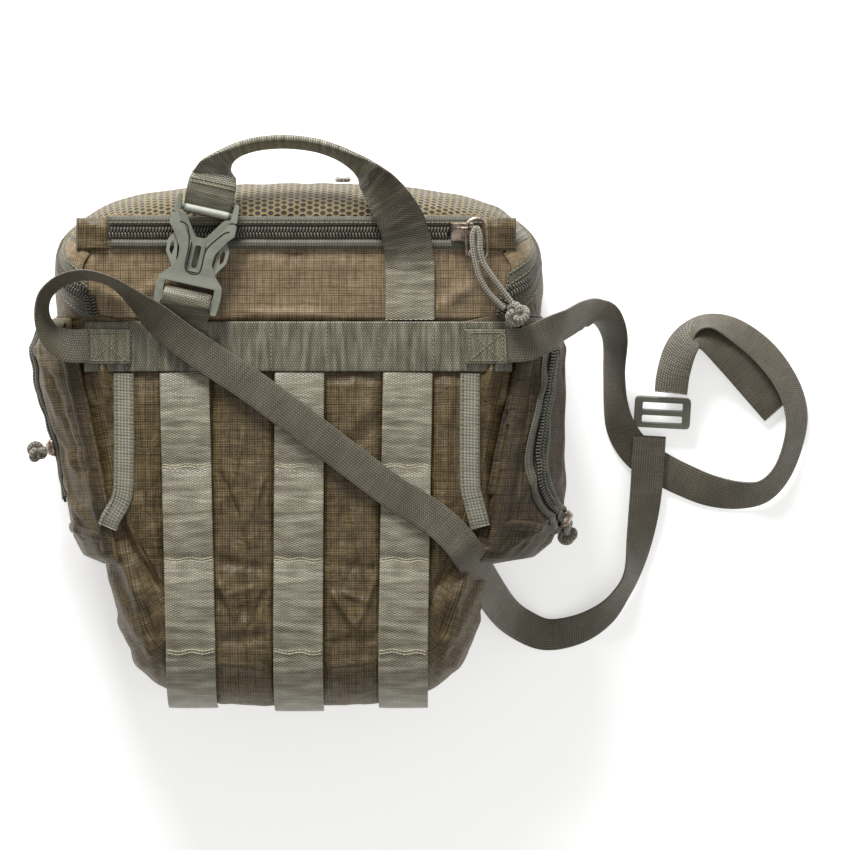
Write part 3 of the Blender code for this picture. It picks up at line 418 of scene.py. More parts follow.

# %% [markdown]
# A strap's length is a fact of the object, so each length is printed above. The loose end is the part
# of the second length that has come through the lock.

# %% [markdown]
# ## The bag's form
# The bag is a lofted shell: one closed outline, drawn in a little at the floor and more and more
# over the rounded rim at the front. It depends on two numbers: how far round the outline a point
# is, and how far up the profile. The CAD model uses the same outline and the same profile, so
# whatever is drawn with this function lies where the CAD says.

# %% Outline, profile and shell
HALF_OUTLINE = [(0, 132), (38, 131.2), (68, 128.3), (92, 123.2), (109, 114.5), (119, 103), (123, 90),
                (123, 74), (120.5, 55), (115, 30), (108.5, 0), (102.5, -32), (97, -61), (91, -87),
                (84.5, -106), (75, -118.5), (61, -126.5), (42, -130.6), (20, -132)]
PROFILE = [(0, 4), (10, 2.4), (20, 1.4), (32, 0.4), (45, 0), (55, 0.3), (65, 1.6), (72, 3.2), (77, 5),
           (81, 7), (84, 9.5),
           (86.4, 12.6), (88, 16.5), (88.5, 24), (88.6, 40)]
right_half = np.array(HALF_OUTLINE, float)
whole = np.vstack([right_half, [[0, -132]], right_half[:0:-1] * [-1, 1], right_half[:1]])
outline = smooth(np.column_stack([whole, np.zeros(len(whole))]), 1601)[:, :2]
slope = np.gradient(np.vstack([outline[-2:-1], outline, outline[1:2]]), axis=0)[1:-1]
outward = unit(np.stack([-slope[:, 1], slope[:, 0]], axis=1))
outline_length = np.linalg.norm(np.diff(outline, axis=0), axis=1).sum()
profile = smooth([(inset, z, 0) for z, inset in PROFILE], 400)[:, :2]
profile_length = np.linalg.norm(np.diff(profile, axis=0), axis=1).sum()


def profile_at(t):
    """Inset and height at a fraction t of the profile's length, 0 at the floor."""
    steps = np.linspace(0, 1, len(profile))
    return np.interp(t, steps, profile[:, 0]), np.interp(t, steps, profile[:, 1])


def share_at_inset(inset):
    """The profile's fraction at which the front's rim is drawn in by inset."""
    upper = profile[:, 1] > 50
    return np.interp(inset, profile[upper, 0], np.linspace(0, 1, len(profile))[upper])


def shell(s, t, swell=0.0):
    """The shell at s round the outline, 0 and 1 at the top middle and clockwise, and t up the profile."""
    steps = np.linspace(0, 1, len(outline))
    s = np.mod(s, 1.0)
    x, y, nx, ny = (np.interp(s, steps, column) for column in (*outline.T, *outward.T))
    inset, z = profile_at(t)
    grow = 1 + np.maximum(0, -ny) + 0.15 * np.maximum(0, ny)
    side = np.clip((80 - z) / 30, 0.15, 1)
    place = np.stack([x - nx * (inset * grow - swell * side), y - ny * (inset * grow - swell * side),
                      z * (1 + 0.02 * y / 88)], axis=-1)
    place[..., 2] += swell * np.clip((z - 60) / 25, 0, 1)
    return place


def s_where(test_y, right=True):
    """How far round the outline its right (or left) side reaches a height on the page."""
    half = slice(0, 801) if right else slice(800, 1601)
    steps = np.linspace(0, 1, len(outline))[half]
    order = np.argsort(outline[half, 1])
    return float(np.interp(test_y, outline[half, 1][order], steps[order]))


def creases(x, y, table):
    """Soft ridges, each from one point to another: height * exp(-(across / width)^2), fading at both ends."""
    rise = np.zeros(np.broadcast(x, y).shape)
    for x0, y0, x1, y1, width, height in table:
        run = np.hypot(x1 - x0, y1 - y0)
        along = ((x - x0) * (x1 - x0) + (y - y0) * (y1 - y0)) / run ** 2
        across = ((x - x0) * (y1 - y0) - (y - y0) * (x1 - x0)) / run
        fade = np.exp(-(np.maximum(0, np.abs(along - 0.5) - 0.32) / 0.13) ** 2)
        rise += height * np.exp(-(across / width) ** 2) * fade
    return rise


def ripple(x, y, seed, size, height):
    """Gentle unevenness: the mean of ten sine waves in directions and phases drawn from one seed."""
    draw = np.random.default_rng(seed)
    total = np.zeros(np.broadcast(x, y).shape)
    for angle, phase, pitch in zip(draw.uniform(0, np.pi, 10), draw.uniform(0, 6.28, 10),
                                   draw.uniform(0.6, 1.6, 10)):
        total += np.sin((x * np.cos(angle) + y * np.sin(angle)) * 6.28 / (size * pitch) + phase)
    return total * height / 10 ** 0.5


def crumple(x, y, seed, size, height):
    """Sharp little valleys, as crushed nylon has: the mean of |sine| waves in seven directions, each bent by a slow one."""
    draw = np.random.default_rng(seed)
    total = np.zeros(np.broadcast(x, y).shape)
    bend = ripple(x, y, seed + 50, size * 2.4, 1.0)
    for angle, phase, pitch in zip(draw.uniform(0, np.pi, 7), draw.uniform(0, 6.28, 7),
                                   draw.uniform(0.7, 1.7, 7)):
        wave = (x * np.cos(angle) + y * np.sin(angle)) * 3.14 / (size * pitch) + phase + bend
        total += np.abs(np.sin(wave)) - 0.64
    return total * height / 7 ** 0.5


def front(y):
    return 88 + 0.02 * y


print("Outline", round(outline_length), "mm round, profile", round(profile_length), "mm up")

# %% [markdown]
# ## Ripstop
# The shell is ripstop nylon: a thin plain weave with a thicker yarn every 4.2 mm both ways, which
# stops a tear. It is calendered, so it shines softly, and it creases sharply where it is pulled.
# The fine weave is a third of a millimetre, too fine to show, so it is drawn at 1.25 mm. The colour
# is a brown olive that turns gold where light grazes it, which a sheen layer gives.

# %% Ripstop material
def ripstop(name, light, middle, dark, crinkle=1.0):
    """Plain weave with sunk yarn lines in squares, slubs both ways, over a crumpled satin ground."""
    material, tree, shader = new_material(name, Roughness=0.54, Sheen_Weight=0.12, Sheen_Roughness=0.35,
                                          Specular_IOR_Level=0.45)
    shader.inputs["Sheen Tint"].default_value = linear("#d9c49a")
    uv = add_node(tree, "UVMap", uv_map="millimetres")
    split = add_node(tree, "SeparateXYZ", {0: uv.outputs[0]})
    lines = []
    for axis in (0, 1):
        near = add_node(tree, "Math", {0: split.outputs[axis], 1: 2.1}, operation="PINGPONG")
        lines.append(add_node(tree, "Math", {0: near.outputs[0], 1: 0.3}, operation="LESS_THAN"))
    yarn = add_node(tree, "Math", {0: lines[0].outputs[0], 1: lines[1].outputs[0]}, operation="MAXIMUM")
    dots = [add_node(tree, "Math", {0: split.outputs[axis], 1: 0.62}, operation="PINGPONG") for axis in (0, 1)]
    weave = add_node(tree, "Math", {0: dots[0].outputs[0], 1: dots[1].outputs[0]}, operation="MULTIPLY")
    crease = add_node(tree, "TexNoise", {"Vector": uv.outputs[0], "Scale": 0.06, "Detail": 4.0, "Roughness": 0.6,
                                         "Distortion": 1.2})
    ridge = add_node(tree, "TexVoronoi", {"Vector": uv.outputs[0], "Scale": 0.055, "Randomness": 1.0},
                     feature="SMOOTH_F1")
    slubs = []
    for scale in ((1.6, 0.10, 1.0), (0.10, 1.6, 1.0)):
        slub = add_node(tree, "Mapping", {"Vector": uv.outputs[0], "Scale": scale})
        slubs.append(add_node(tree, "TexNoise", {"Vector": slub.outputs[0], "Scale": 0.9, "Detail": 2.0}))
    tone = add_node(tree, "Math", {0: slubs[0].outputs[0], 1: slubs[1].outputs[0]}, operation="ADD")
    tone = add_node(tree, "Math", {0: tone.outputs[0], 1: 0.46, 2: 0.42}, operation="MULTIPLY_ADD")
    tone = add_node(tree, "Math", {0: crease.outputs[0], 1: 0.3, 2: tone.outputs[0]}, operation="MULTIPLY_ADD")
    tone = add_node(tree, "Math", {0: yarn.outputs[0], 1: -0.1, 2: tone.outputs[0]}, operation="MULTIPLY_ADD")
    tone = add_node(tree, "Math", {0: weave.outputs[0], 1: 0.95, 2: tone.outputs[0]}, operation="MULTIPLY_ADD")
    spread = add_node(tree, "MapRange", {"Value": tone.outputs[0], "From Min": 0.85, "From Max": 1.6})
    ramp = add_node(tree, "ValToRGB", {0: spread.outputs[0]})
    ramp.color_ramp.elements[0].position = 0.1
    ramp.color_ramp.elements[0].color = linear(dark)
    ramp.color_ramp.elements[1].position = 0.85
    ramp.color_ramp.elements[1].color = linear(light)
    ramp.color_ramp.elements.new(0.42).color = linear(middle)
    high = add_node(tree, "Math", {0: yarn.outputs[0], 1: -0.5}, operation="MULTIPLY")
    high = add_node(tree, "Math", {0: weave.outputs[0], 1: 1.6, 2: high.outputs[0]}, operation="MULTIPLY_ADD")
    thread = add_node(tree, "Bump", {"Height": high.outputs[0], "Distance": 0.00012, "Strength": 0.8})
    crumple = add_node(tree, "Math", {0: ridge.outputs["Distance"], 1: 0.7, 2: crease.outputs[0]},
                       operation="MULTIPLY_ADD")
    fold = add_node(tree, "Bump", {"Height": crumple.outputs[0], "Distance": 0.0017 * crinkle, "Strength": 0.9,
                                   "Normal": thread.outputs[0]})
    tree.links.new(ramp.outputs[0], shader.inputs["Base Color"])
    tree.links.new(fold.outputs[0], shader.inputs["Normal"])
    return material


body_ripstop = ripstop("brown_olive_ripstop", "#8c7852", "#5f5033", "#32260f")
# The lid's copy, on its panel, hinge and cheeks, is paler: painted light.
lid_ripstop_painted_light = ripstop("lid_ripstop_painted_light", "#a8957a", "#857256", "#54452c", crinkle=0.35)
# This darker copy, on the right pocket and the pockets' bands, is painted shade.
shade_painted_ripstop = ripstop("ripstop_with_painted_shade", "#6d5d3f", "#453822", "#21190a")
print("Ripstop squares 4.2 mm, weave drawn at 1 mm")

# %% [markdown]
# ## The front panel
# The front panel runs from under the belt down the front and round the bottom. Three webbing
# strips are stitched over it, so the cloth lies flat beneath them and puffs out between them,
# and it puckers along every seam. The grid is in x across and down the front; its height is the
# front's plane plus the puff, some creases and a fine ripple.

# %% Front panel
STRIP_X = (-55.0, 1.0, 54.5)
SEAM_Y = (63, 0, -24, -36, -71, -95, -135)
SEAM_X = (86.5, 86.5, 87.0, 86.0, 66.0, 64.0, 63.0)


def seam_x(y):
    """Half width of the front panel: the line of its seam with the side panels."""
    return np.interp(-np.asarray(y, float), -np.array(SEAM_Y, float), SEAM_X)


def between_strips(x, near=10.0, far=16.5):
    """0 over a webbing strip and 1 in the cloth between strips, smooth from near to far from its middle."""
    gap = np.min([np.abs(x - middle) for middle in STRIP_X], axis=0)
    share = np.clip((gap - near) / (far - near), 0, 1)
    return share * share * (3 - 2 * share)


def front_point(u, v):
    """u across from -1 to 1, v down from the belt at 0 to the floor edge at 1; x and y settle in three rounds."""
    order = np.argsort(outline[400:1201, 0])
    face = np.clip((v - 0.66) / 0.34, 0, 1)
    share = share_at_inset(16) + (0.012 - share_at_inset(16)) * face
    inset, z = profile_at(share)
    y = np.interp(v, [0, 0.66, 1], [62.0, -99.5, -132.0]) + 0 * u
    for _ in range(3):
        x = seam_x(y) * u
        foot = np.interp(x, outline[400:1201, 0][order], outline[400:1201, 1][order])
        flat = 62.0 + (foot + 32 - 62.0) * np.clip(v / 0.66, 0, 1)
        y = np.where(v < 0.66, flat, foot + 2 * inset)
    height = np.where(v < 0.66, front(y), z * (1 + 0.02 * y / 88))
    return x, y, height, face


u, v = np.meshgrid(np.linspace(-1, 1, 260), np.linspace(0, 1, 320))
x, y, z, face = front_point(u, v)
puff = between_strips(x) * (0.3 + 3.0 * np.sin(np.pi * np.clip((62 - y) / 190, 0, 1)) ** 0.5)
edge = np.clip((1 - np.abs(u)) * 9, 0, 1)
rng = np.random.default_rng(11)
wrinkles = [(c + rng.normal(0, 3.5), a, c + rng.normal(0, 5), a - rng.uniform(30, 75), rng.uniform(1.6, 3.4),
             rng.uniform(-1.3, 1.5)) for c in (-76, -28, -24, 27, 31, 75) for a in (55, 10, -20, -60)]
wrinkles += [(-78, 30, -70, -60, 2.4, 1.8), (77, 34, 72, -52, 2.6, 1.7), (-36, -74, -20, -70, 1.7, 0.9),
             (20, -72, 37, -78, 1.7, 1.0), (-40, 26, -16, 20, 2.0, 0.8), (18, 2, 40, -6, 2.0, 0.8),
             (-33, -20, -22, -52, 2.0, 1.3), (26, -24, 34, -66, 1.8, 1.3), (-72, -40, -68, -100, 2.2, 1.2),
             (70, -20, 70, -64, 2.2, 1.4), (-26, -84, -22, -112, 2.4, 1.2), (30, -86, 28, -114, 2.4, 1.1),
             (-42, -57, -14, -61, 3.0, -1.5), (14, -57, 42, -62, 3.0, -1.4), (-42, -98, -14, -94, 3.2, -1.5),
             (14, -99, 42, -95, 3.2, -1.5), (-40, -10, -28, -36, 1.8, -1.5), (-16, -14, -26, -40, 1.8, 1.4),
             (40, 22, 20, 4, 3.6, 1.1), (16, -70, 30, -92, 2.0, 1.9), (40, -64, 30, -90, 2.0, 1.6),
             (-40, -66, -30, -88, 2.0, 1.7), (-15, -70, -24, -92, 1.8, -1.4), (-42, -108, -14, -112, 2.2, 1.7),
             (14, -110, 42, -107, 2.2, 1.7)]
cloth = creases(x, y, wrinkles) + ripple(x, y, 3, 17, 0.3) + crumple(x, y, 31, 19, 0.6)
lift = (puff + cloth * between_strips(x)) * (0.25 + 0.75 * edge) * np.clip((39 - y) / 8, 0, 1) - 0.9
bend = face * np.pi / 2 * 0.98
grid = np.stack([x, y - lift * np.sin(bend), z + lift * np.cos(bend)], axis=-1)
front_panel = show("front_panel_cloth", surface("front_panel_cloth", grid, np.stack([x, -y + face * 60], axis=-1),
                                                inside=(0, 0, 20)), body_ripstop, "pack",
                                                ("front_panel", "bottom_wall"))
thicken(front_panel, 0.5)
print("Front panel grid", grid.shape[:2])

# %% [markdown]
# ## The side panels
# Each side is one panel from the front's seam over the rounded rim and down the side wall to the
# back. The rows go round the outline; the columns go from the floor up the profile and then flat
# to the seam. Below the side pocket the cloth is gathered by a dart, whose folds run to the
# bottom corner.

# %% Side panels
def side_panel(name, sign, replaced):
    """A panel whose rows follow the outline and whose columns climb the profile and run in to the seam."""
    start, end = s_where(66.0), s_where(-127.6)
    s = np.linspace(start, end, 230)[:, None]
    q = np.linspace(0, 1, 96)[None, :]
    climb = np.clip(q / 0.66, 0, 1)
    rim = share_at_inset(13)
    place = shell(s, 0.006 + (rim - 0.006) * climb)
    last = shell(s, np.full_like(s, rim))
    page_y = last[..., 1]
    inner_y = np.interp(-page_y, [-70, 40, 70, 100, 118, 126, 135], [66, -36, -62, -82, -102, -114, -122])
    seam = np.stack([seam_x(inner_y) - 4.5, inner_y - 1.5, front(inner_y) - 1.9], axis=-1)
    corner = np.clip((-page_y - 80) / 40, 0, 1)
    seam[..., 2] -= corner * 2.0
    inward = np.clip((q - 0.66) / 0.34, 0, 1)[..., None]
    flat = last + (seam - last) * inward
    flat[..., 2] += np.sin(np.pi * inward[..., 0] ** 0.8) * 2.4
    place = np.where(q[..., None] > 0.66, flat, place)
    x, y = place[..., 0], place[..., 1]
    folds = [(104, 60, 92, 20, 2.6, 1.8), (97, 55, 96, 5, 2.2, 1.5), (108, 40, 99, -20, 2.4, 1.4),
             (94, 8, 93, -42, 2.0, 1.6),
             (90, -38, 68, -74, 2.4, -2.6), (94, -44, 74, -84, 2.8, 2.2), (96, -58, 78, -100, 2.8, 1.7),
             (86, -60, 70, -112, 2.6, 1.8), (78, -72, 68, -120, 2.2, -1.3), (92, -84, 76, -114, 2.6, 1.2),
             (100, -12, 90, -50, 2.4, 1.4), (103, 22, 101, -30, 2.2, -1.1)]
    lift = 1.4 * creases(x, y, folds) + ripple(x, y, 5 + (sign > 0), 19, 0.35) + ripple(s * outline_length,
            q * 90, 8, 24, 0.5)
    lift = lift + crumple(s * outline_length, q * 110, 41 + (sign > 0), 17, 0.7)
    lift = lift * np.clip(np.minimum(q, 1 - q) * 12, 0, 1)
    wall = np.clip(1 - (place[..., 2] - 60) / 28, 0, 1)[..., None]
    out = unit(unit(np.stack([x, np.where(y < -60, y + 60, 0), 0 * x], axis=-1)) * wall + np.array([0, 0,
            1.0]) * (1 - wall))
    place = place + out * lift[..., None]
    place = place * [sign, 1, 1]
    uv = np.stack(np.broadcast_arrays(q * 118, s * outline_length), axis=-1)
    panel = show(name, surface(name, place, uv, inside=(0, -20, 30)), body_ripstop, "pack",
                 (replaced,))
    thicken(panel, 0.5)
    return panel


left_side = side_panel("left_side_cloth", -1, "left_side_wall")
right_side = side_panel("right_side_cloth", 1, "right_side_wall")
print("Side panels made")

# %% [markdown]
# ## The lid
# The lid's front is one flat panel with a zipped pocket behind it. Its cloth is pulled between
# the zip and the hinge at the belt, so it ripples from side to side only a little, and it shows
# the cleanest ripstop squares. Its cheeks turn over the rim to the main zip.

# %% Where the main zip runs
HINGE = np.array([63.0, 89.7])
RUN = np.array([131.0, 10.0]) - HINGE
RUN = RUN / np.linalg.norm(RUN)
SIDE = np.array([-RUN[1], RUN[0]])


def zip_share(s, offset):
    """The profile's fraction at the main zip's line, offset towards the lid; it climbs above its plane near the belt."""
    s = np.asarray(s, float)
    t = np.linspace(0.04, share_at_inset(18), 500)
    place = shell(s[..., None], t)
    climb = 11.0 * np.clip((118 - place[..., 1]) / 30, 0, 1)
    away = (place[..., 1] - HINGE[0]) * SIDE[0] + (place[..., 2] - HINGE[1]) * SIDE[1] - offset - climb
    first = np.argmax(away > 0, axis=-1)
    first = np.where(away.max(axis=-1) > 0, first, len(t) - 1)
    return t[first]


RIM = share_at_inset(14)
s_left, s_right = s_where(67.0, right=False) - 1.0, s_where(67.0)


def lid_band(name, s0, s1, low, high, material, replaced, rows=160, columns=40, swell=0.0, seed=4,
             rough=0.2, body="lid"):
    """Part of the lid between two lines round the shell, each a fraction of the profile for every s."""
    s = np.linspace(s0, s1, rows)
    a, b = low(s), high(s)
    q = np.linspace(0, 1, columns)
    t = a[:, None] + (b - a)[:, None] * q[None]
    round_s = np.broadcast_to(s[:, None], t.shape)
    puff = swell * np.sin(np.pi * q)[None] ** 0.6 * np.clip(np.minimum(s - s0, s1 - s) * 40, 0, 1)[:, None]
    place = shell(round_s, t, 0.15 + puff + ripple(round_s * outline_length, t * profile_length, seed, 16, rough))
    uv = np.stack([round_s * outline_length, t * profile_length], axis=-1)
    piece = show(name, surface(name, place, uv, inside=(0, 20, 20)), material, body, replaced)
    return thicken(piece, 0.6)


lid_top = 116.0
u, v = np.meshgrid(np.linspace(-1, 1, 200), np.linspace(0, 1, 90))
y = 62.4 + (lid_top - 62.4) * v
half = np.interp(y, [60, 75, 90, 100, 108, 116], [108.7, 110.5, 109.8, 106.8, 101.5, 92.6])
x = half * u
rng = np.random.default_rng(5)
pulls = [(a, 99, a + rng.normal(0, 5), 99 - rng.uniform(10, 26), rng.uniform(1.3, 2.4), rng.uniform(-0.35, 0.45))
         for a in np.linspace(-90, 90, 15)]
pulls += [(-96, 70, -60, 84, 3.5, 0.8), (68, 68, 100, 88, 3.0, 0.8), (-30, 67, 20, 66, 2.4, 0.9),
          (-28, 92, 40, 90, 4, 0.5),
          (92, 66, 100, 96, 2.2, 0.9), (-98, 66, -103, 96, 2.2, 0.9)]
lift = (1.3 * creases(x, y, pulls) + ripple(x, y, 9, 22, 0.25) + crumple(x, y, 61, 24,
        0.25) + 0.9 * np.sin(np.pi * v) ** 0.7) * np.clip((1 - np.abs(u)) * 14, 0, 1)
lift *= 1 - 0.85 * np.exp(-((x - 90) ** 2 + (y - 94) ** 2) / 160)
z = front(y) + lift - 0.7 - 1.8 * np.clip((np.abs(u) - 0.9) / 0.1, 0,
                                          1) ** 2 - 2.2 * np.clip((65.5 - y) / 3, 0, 1) ** 2
grid = np.stack([x, y, z], axis=-1)
# The lid's cloth takes the paler ripstop copy: painted light.
lid_panel = show("lid_panel_cloth", surface("lid_panel_cloth", grid, np.stack([x, y], axis=-1),
                                            inside=(0, 90, 20)),
                 lid_ripstop_painted_light, "lid", ("lid_front_panel",))
thicken(lid_panel, 0.5)
u, v = np.meshgrid(np.linspace(-1, 1, 90), np.linspace(0, 1, 24))
x, y = 105.5 * u, 56 + 14 * v
hinge_grid = np.stack([x, y, front(y) - 1.6 + 0 * x], axis=-1)
hinge_cloth = show("lid_hinge_cloth",
                   surface("lid_hinge_cloth", hinge_grid, np.stack([x, y], -1), inside=(0, 62, 20)),
                   lid_ripstop_painted_light, None)
thicken(hinge_cloth, 0.4)
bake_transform(hinge_cloth)
s_cheek = s_where(106.0)
cheeks = [lid_band(name, s0, s1, lambda s: np.minimum(zip_share(s, 8.5), RIM - 0.01),
                   lambda s: s * 0 + share_at_inset(15.5),
                   lid_ripstop_painted_light, (node,), rows=90, columns=26, swell=0.4)
          for name, node, s0, s1 in (("lid_left_cheek", "lid_left_side", s_left, -s_cheek),
                                     ("lid_right_cheek", "lid_right_side", s_cheek, s_right))]
upper_wall = lid_band("upper_wall_cloth", s_left - 0.006, s_right + 0.006, lambda s: s * 0 + 0.006,
                      lambda s: np.maximum(zip_share(s, -8.0), 0.012), body_ripstop, (),
                      rows=300, columns=30,
                      swell=0.5, body="pack")

# %% [markdown]
# ## Spacer mesh
# The roof of the lid and the whole back are spacer mesh: two knitted faces held apart by a springy
# pile. Its outer face has rows of six-sided holes, drawn 3.3 mm apart, with the dark pile showing
# through. Three waves at 60 degrees to each other make such holes; their sum is low in the holes.

# %% Spacer mesh
def spacer_mesh(name, light, dark, pitch=3.4):
    """Holes in a hexagonal grid: the sum of three cosines 120 degrees apart, cut to knit and hole."""
    material, tree, shader = new_material(name, Roughness=0.75, Sheen_Weight=0.3, Sheen_Roughness=0.5)
    uv = add_node(tree, "UVMap", uv_map="millimetres")
    waves = None
    for angle in (0, 120, 240):
        way = (np.cos(np.radians(angle)) * 6.2832 / pitch, 1.3 * np.sin(np.radians(angle)) * 6.2832 / pitch, 0)
        dot = add_node(tree, "VectorMath", {0: uv.outputs[0], 1: way}, operation="DOT_PRODUCT")
        wave = add_node(tree, "Math", {0: dot.outputs["Value"]}, operation="COSINE")
        if waves is None:
            waves = wave
        else:
            waves = add_node(tree, "Math", {0: waves.outputs[0], 1: wave.outputs[0]}, operation="ADD")
    wear = add_node(tree, "TexNoise", {"Vector": uv.outputs[0], "Scale": 0.35, "Detail": 3.0})
    level = add_node(tree, "Math", {0: wear.outputs[0], 1: 1.6, 2: waves.outputs[0]}, operation="MULTIPLY_ADD")
    knit = add_node(tree, "MapRange", {"Value": level.outputs[0], "From Min": 1.55, "From Max": 0.0,
                                       "To Min": 0.0,
                                       "To Max": 1.0})
    ramp = add_node(tree, "ValToRGB", {0: knit.outputs[0]})
    ramp.color_ramp.elements[0].color = linear(dark)
    ramp.color_ramp.elements[0].position = 0.2
    ramp.color_ramp.elements[1].color = linear(light)
    ramp.color_ramp.elements[1].position = 0.9
    bump = add_node(tree, "Bump", {"Height": knit.outputs[0], "Distance": 0.0009, "Strength": 1.0})
    tree.links.new(ramp.outputs[0], shader.inputs["Base Color"])
    tree.links.new(bump.outputs[0], shader.inputs["Normal"])
    return material


roof_mesh = spacer_mesh("olive_spacer_mesh", "#77683c", "#120c03", pitch=3.3)
mesh_top = lid_band("lid_mesh_roof", -s_cheek, s_cheek, lambda s: zip_share(s, 9.4),
                    lambda s: s * 0 + share_at_inset(15.5),
                    roof_mesh, ("lid_mesh_top",), rows=260, columns=60, swell=1.6,
                    seed=6, rough=0.3)
print("Mesh roof made")

# %% [markdown]
# ## Zips
# A coil zip is two spirals of nylon that lock into each other, sewn to two woven tapes. From
# outside one sees two rows of short slanted teeth, 1.6 mm apart, that meet along the middle, with a line of
# stitches beside each row. Each tooth is one small rounded block, copied along the zip's path.

# %% Zip materials and teeth
coil_nylon, coil_tree, coil_shader = new_material("black_zip_coil_nylon", Roughness=0.28, Specular_IOR_Level=0.75)
speck = add_node(coil_tree, "TexNoise",
                 {"Vector": add_node(coil_tree, "TexCoord").outputs["Object"], "Scale": 240.0})
coil_ramp = add_node(coil_tree, "ValToRGB", {0: speck.outputs[0]})
coil_ramp.color_ramp.elements[0].color = linear("#2a2823")
coil_ramp.color_ramp.elements[1].color = linear("#6c6858")
coil_tree.links.new(coil_ramp.outputs[0], coil_shader.inputs["Base Color"])
zip_tape = webbing("zip_tape_twill", "#828070", "#5c5a4b", "#2f2c22", rib=1.3, pair=1.5, slant=0.3,
                   painted_sheen=0.15, shine=0.6)
# A darker copy of the zip tape for the ground under the lid and pocket zips' teeth: painted shade in the groove.
groove_shade_tape = webbing("zip_tape_painted_shade", "#4a4736", "#2c291e", "#17140d", rib=1.2, pair=1.5, painted_sheen=0.1, shine=0.7)
tooth = pillow(1.15, 3.3, 0.9)


def teeth(name, path, out, body, pitch=1.6, offset=1.35, replaces=()):
    """Two rows of teeth either side of a path, the second row half a pitch on."""
    run = np.concatenate([[0], np.cumsum(np.linalg.norm(np.diff(path, axis=0), axis=1))])
    places, alongs, sides, outs = [], [], [], []
    for side in (-1, 1):
        steps = np.arange(0.6 + 0.4 * (side + 1), run[-1] - 0.4, pitch)
        place = np.stack([np.interp(steps, run, c) for c in path.T], axis=1)
        face = unit(np.stack([np.interp(steps, run, c) for c in out.T], axis=1))
        along = unit(np.stack([np.interp(steps, run, c) for c in np.gradient(path, axis=0).T], axis=1))
        across = unit(np.cross(face, along))
        slant = unit(across * side + along * 0.22)
        places.append(place + across * side * offset)
        alongs.append(unit(np.cross(slant, face)))
        sides.append(slant)
        outs.append(face)
    mesh = strew(name, tooth, *(np.concatenate(part) for part in (places, alongs, sides, outs)))
    return show(name, mesh, coil_nylon, body, replaces)


# %% [markdown]
# ## Stitches
# Thread holds everything together, and it shows as rows of short raised dashes in dents. A seam
# is one small rounded block per stitch, 2.4 mm apart, the same trick as the teeth.

# %% Stitches
def thread(name, dark, light):
    """Twisted thread: two tones mixed by a fine noise."""
    material, tree, shader = new_material(name, Roughness=0.5, Sheen_Weight=0.2)
    twist = add_node(tree, "TexNoise", {"Vector": add_node(tree, "TexCoord").outputs["Object"], "Scale": 500.0})
    ramp = add_node(tree, "ValToRGB", {0: twist.outputs[0]})
    ramp.color_ramp.elements[0].color = linear(dark)
    ramp.color_ramp.elements[1].color = linear(light)
    tree.links.new(ramp.outputs[0], shader.inputs["Base Color"])
    return material


thread_nylon = thread("bonded_nylon_thread", "#544d39", "#98906f")
pale_thread = thread("pale_nylon_thread", "#8c8468", "#d2cbb0")
stitch = pillow(1.8, 0.55, 0.35)


def stitches(name, path, out, body, pitch=2.4, yarn=None):
    """Stitches along a path in mm, lying on the face whose outward direction is out."""
    path = np.array(path, float)
    run = np.concatenate([[0], np.cumsum(np.linalg.norm(np.diff(path, axis=0), axis=1))])
    steps = np.arange(pitch / 2, run[-1], pitch)
    place = np.stack([np.interp(steps, run, c) for c in path.T], axis=1)
    ahead = np.stack([np.interp(steps + 0.3, run, c) for c in path.T], axis=1)
    behind = np.stack([np.interp(steps - 0.3, run, c) for c in path.T], axis=1)
    along = unit(ahead - behind)
    out = np.array(out, float)
    face = unit(np.stack([np.interp(steps, run, c) for c in out.T], axis=1)) if out.ndim == 2 else unit(
        np.broadcast_to(out, place.shape))
    across = unit(np.cross(face, along))
    return show(name, strew(name, stitch, place, along, across, np.cross(along, across)),
                yarn or thread_nylon, body)


print("Tooth and stitch have", len(tooth[1]), "faces each")

# %% [markdown]
# ## The main zip
# The main zip follows the plane where the lid meets the bag: it starts low on the front's rim at one
# side, runs back round the top and comes down the other side. Tape, teeth and the stitches beside
# them all follow one line on the shell.

# %% Main zip
def zip_line(offset, count=700, lift=0.0):
    s = np.linspace(s_left - 0.006, s_right + 0.006, count)
    t = zip_share(s, offset)
    t = np.convolve(np.pad(t, 6, mode="edge"), np.ones(13) / 13, mode="valid")
    point = shell(s, t, lift)
    rise = shell(s, t + 0.004) - shell(s, t - 0.004)
    round_ = np.gradient(point, axis=0)
    out = unit(np.cross(rise, round_))
    out *= np.sign(np.sum(out * (point - [0, 20, 20]), axis=1, keepdims=True))
    return s, t, point, out


def tape_band(name, low, high, material, body, replaced, lift=0.5):
    """Zip tape as a sheet between two offsets from the zip's plane."""
    lines = [zip_line(offset, 420, lift)[2] for offset in np.linspace(low, high, 7)]
    piece = show(name, surface(name, np.stack(lines, axis=1), inside=(0, 20, 20)), material, body, replaced)
    return thicken(piece, 0.5)


tape_band("main_zip_tape_on_lid", 0.4, 10.2, zip_tape, "lid", ("main_zip_lid_tape",), 0.7)
tape_band("main_zip_tape_on_body", -0.4, -10.2, zip_tape, "pack", ("main_zip_body_tape",), 0.7)
_, _, zip_middle, zip_out = zip_line(0.0, 900, 1.1)
main_teeth = teeth("main_zip_teeth", zip_middle, zip_out, "lid")
for side, body in ((-1, "pack"), (1, "lid")):
    for gap in (3.9, 8.6):
        _, _, seam, seam_out = zip_line(side * gap, 500, 0.85)
        stitches("main_zip_seam_" + body + "_" + str(round(gap)), seam, seam_out, body)
print("Main zip", round(np.linalg.norm(np.diff(zip_middle, axis=0), axis=1).sum()), "mm long")

# %% [markdown]
# ## The lid pocket's zip
# This zip lies straight across the lid. Above it the lid's edge is a flat tape; below it the cloth
# is rolled over a cord into a soft welt. Two little folded patches finish its ends.

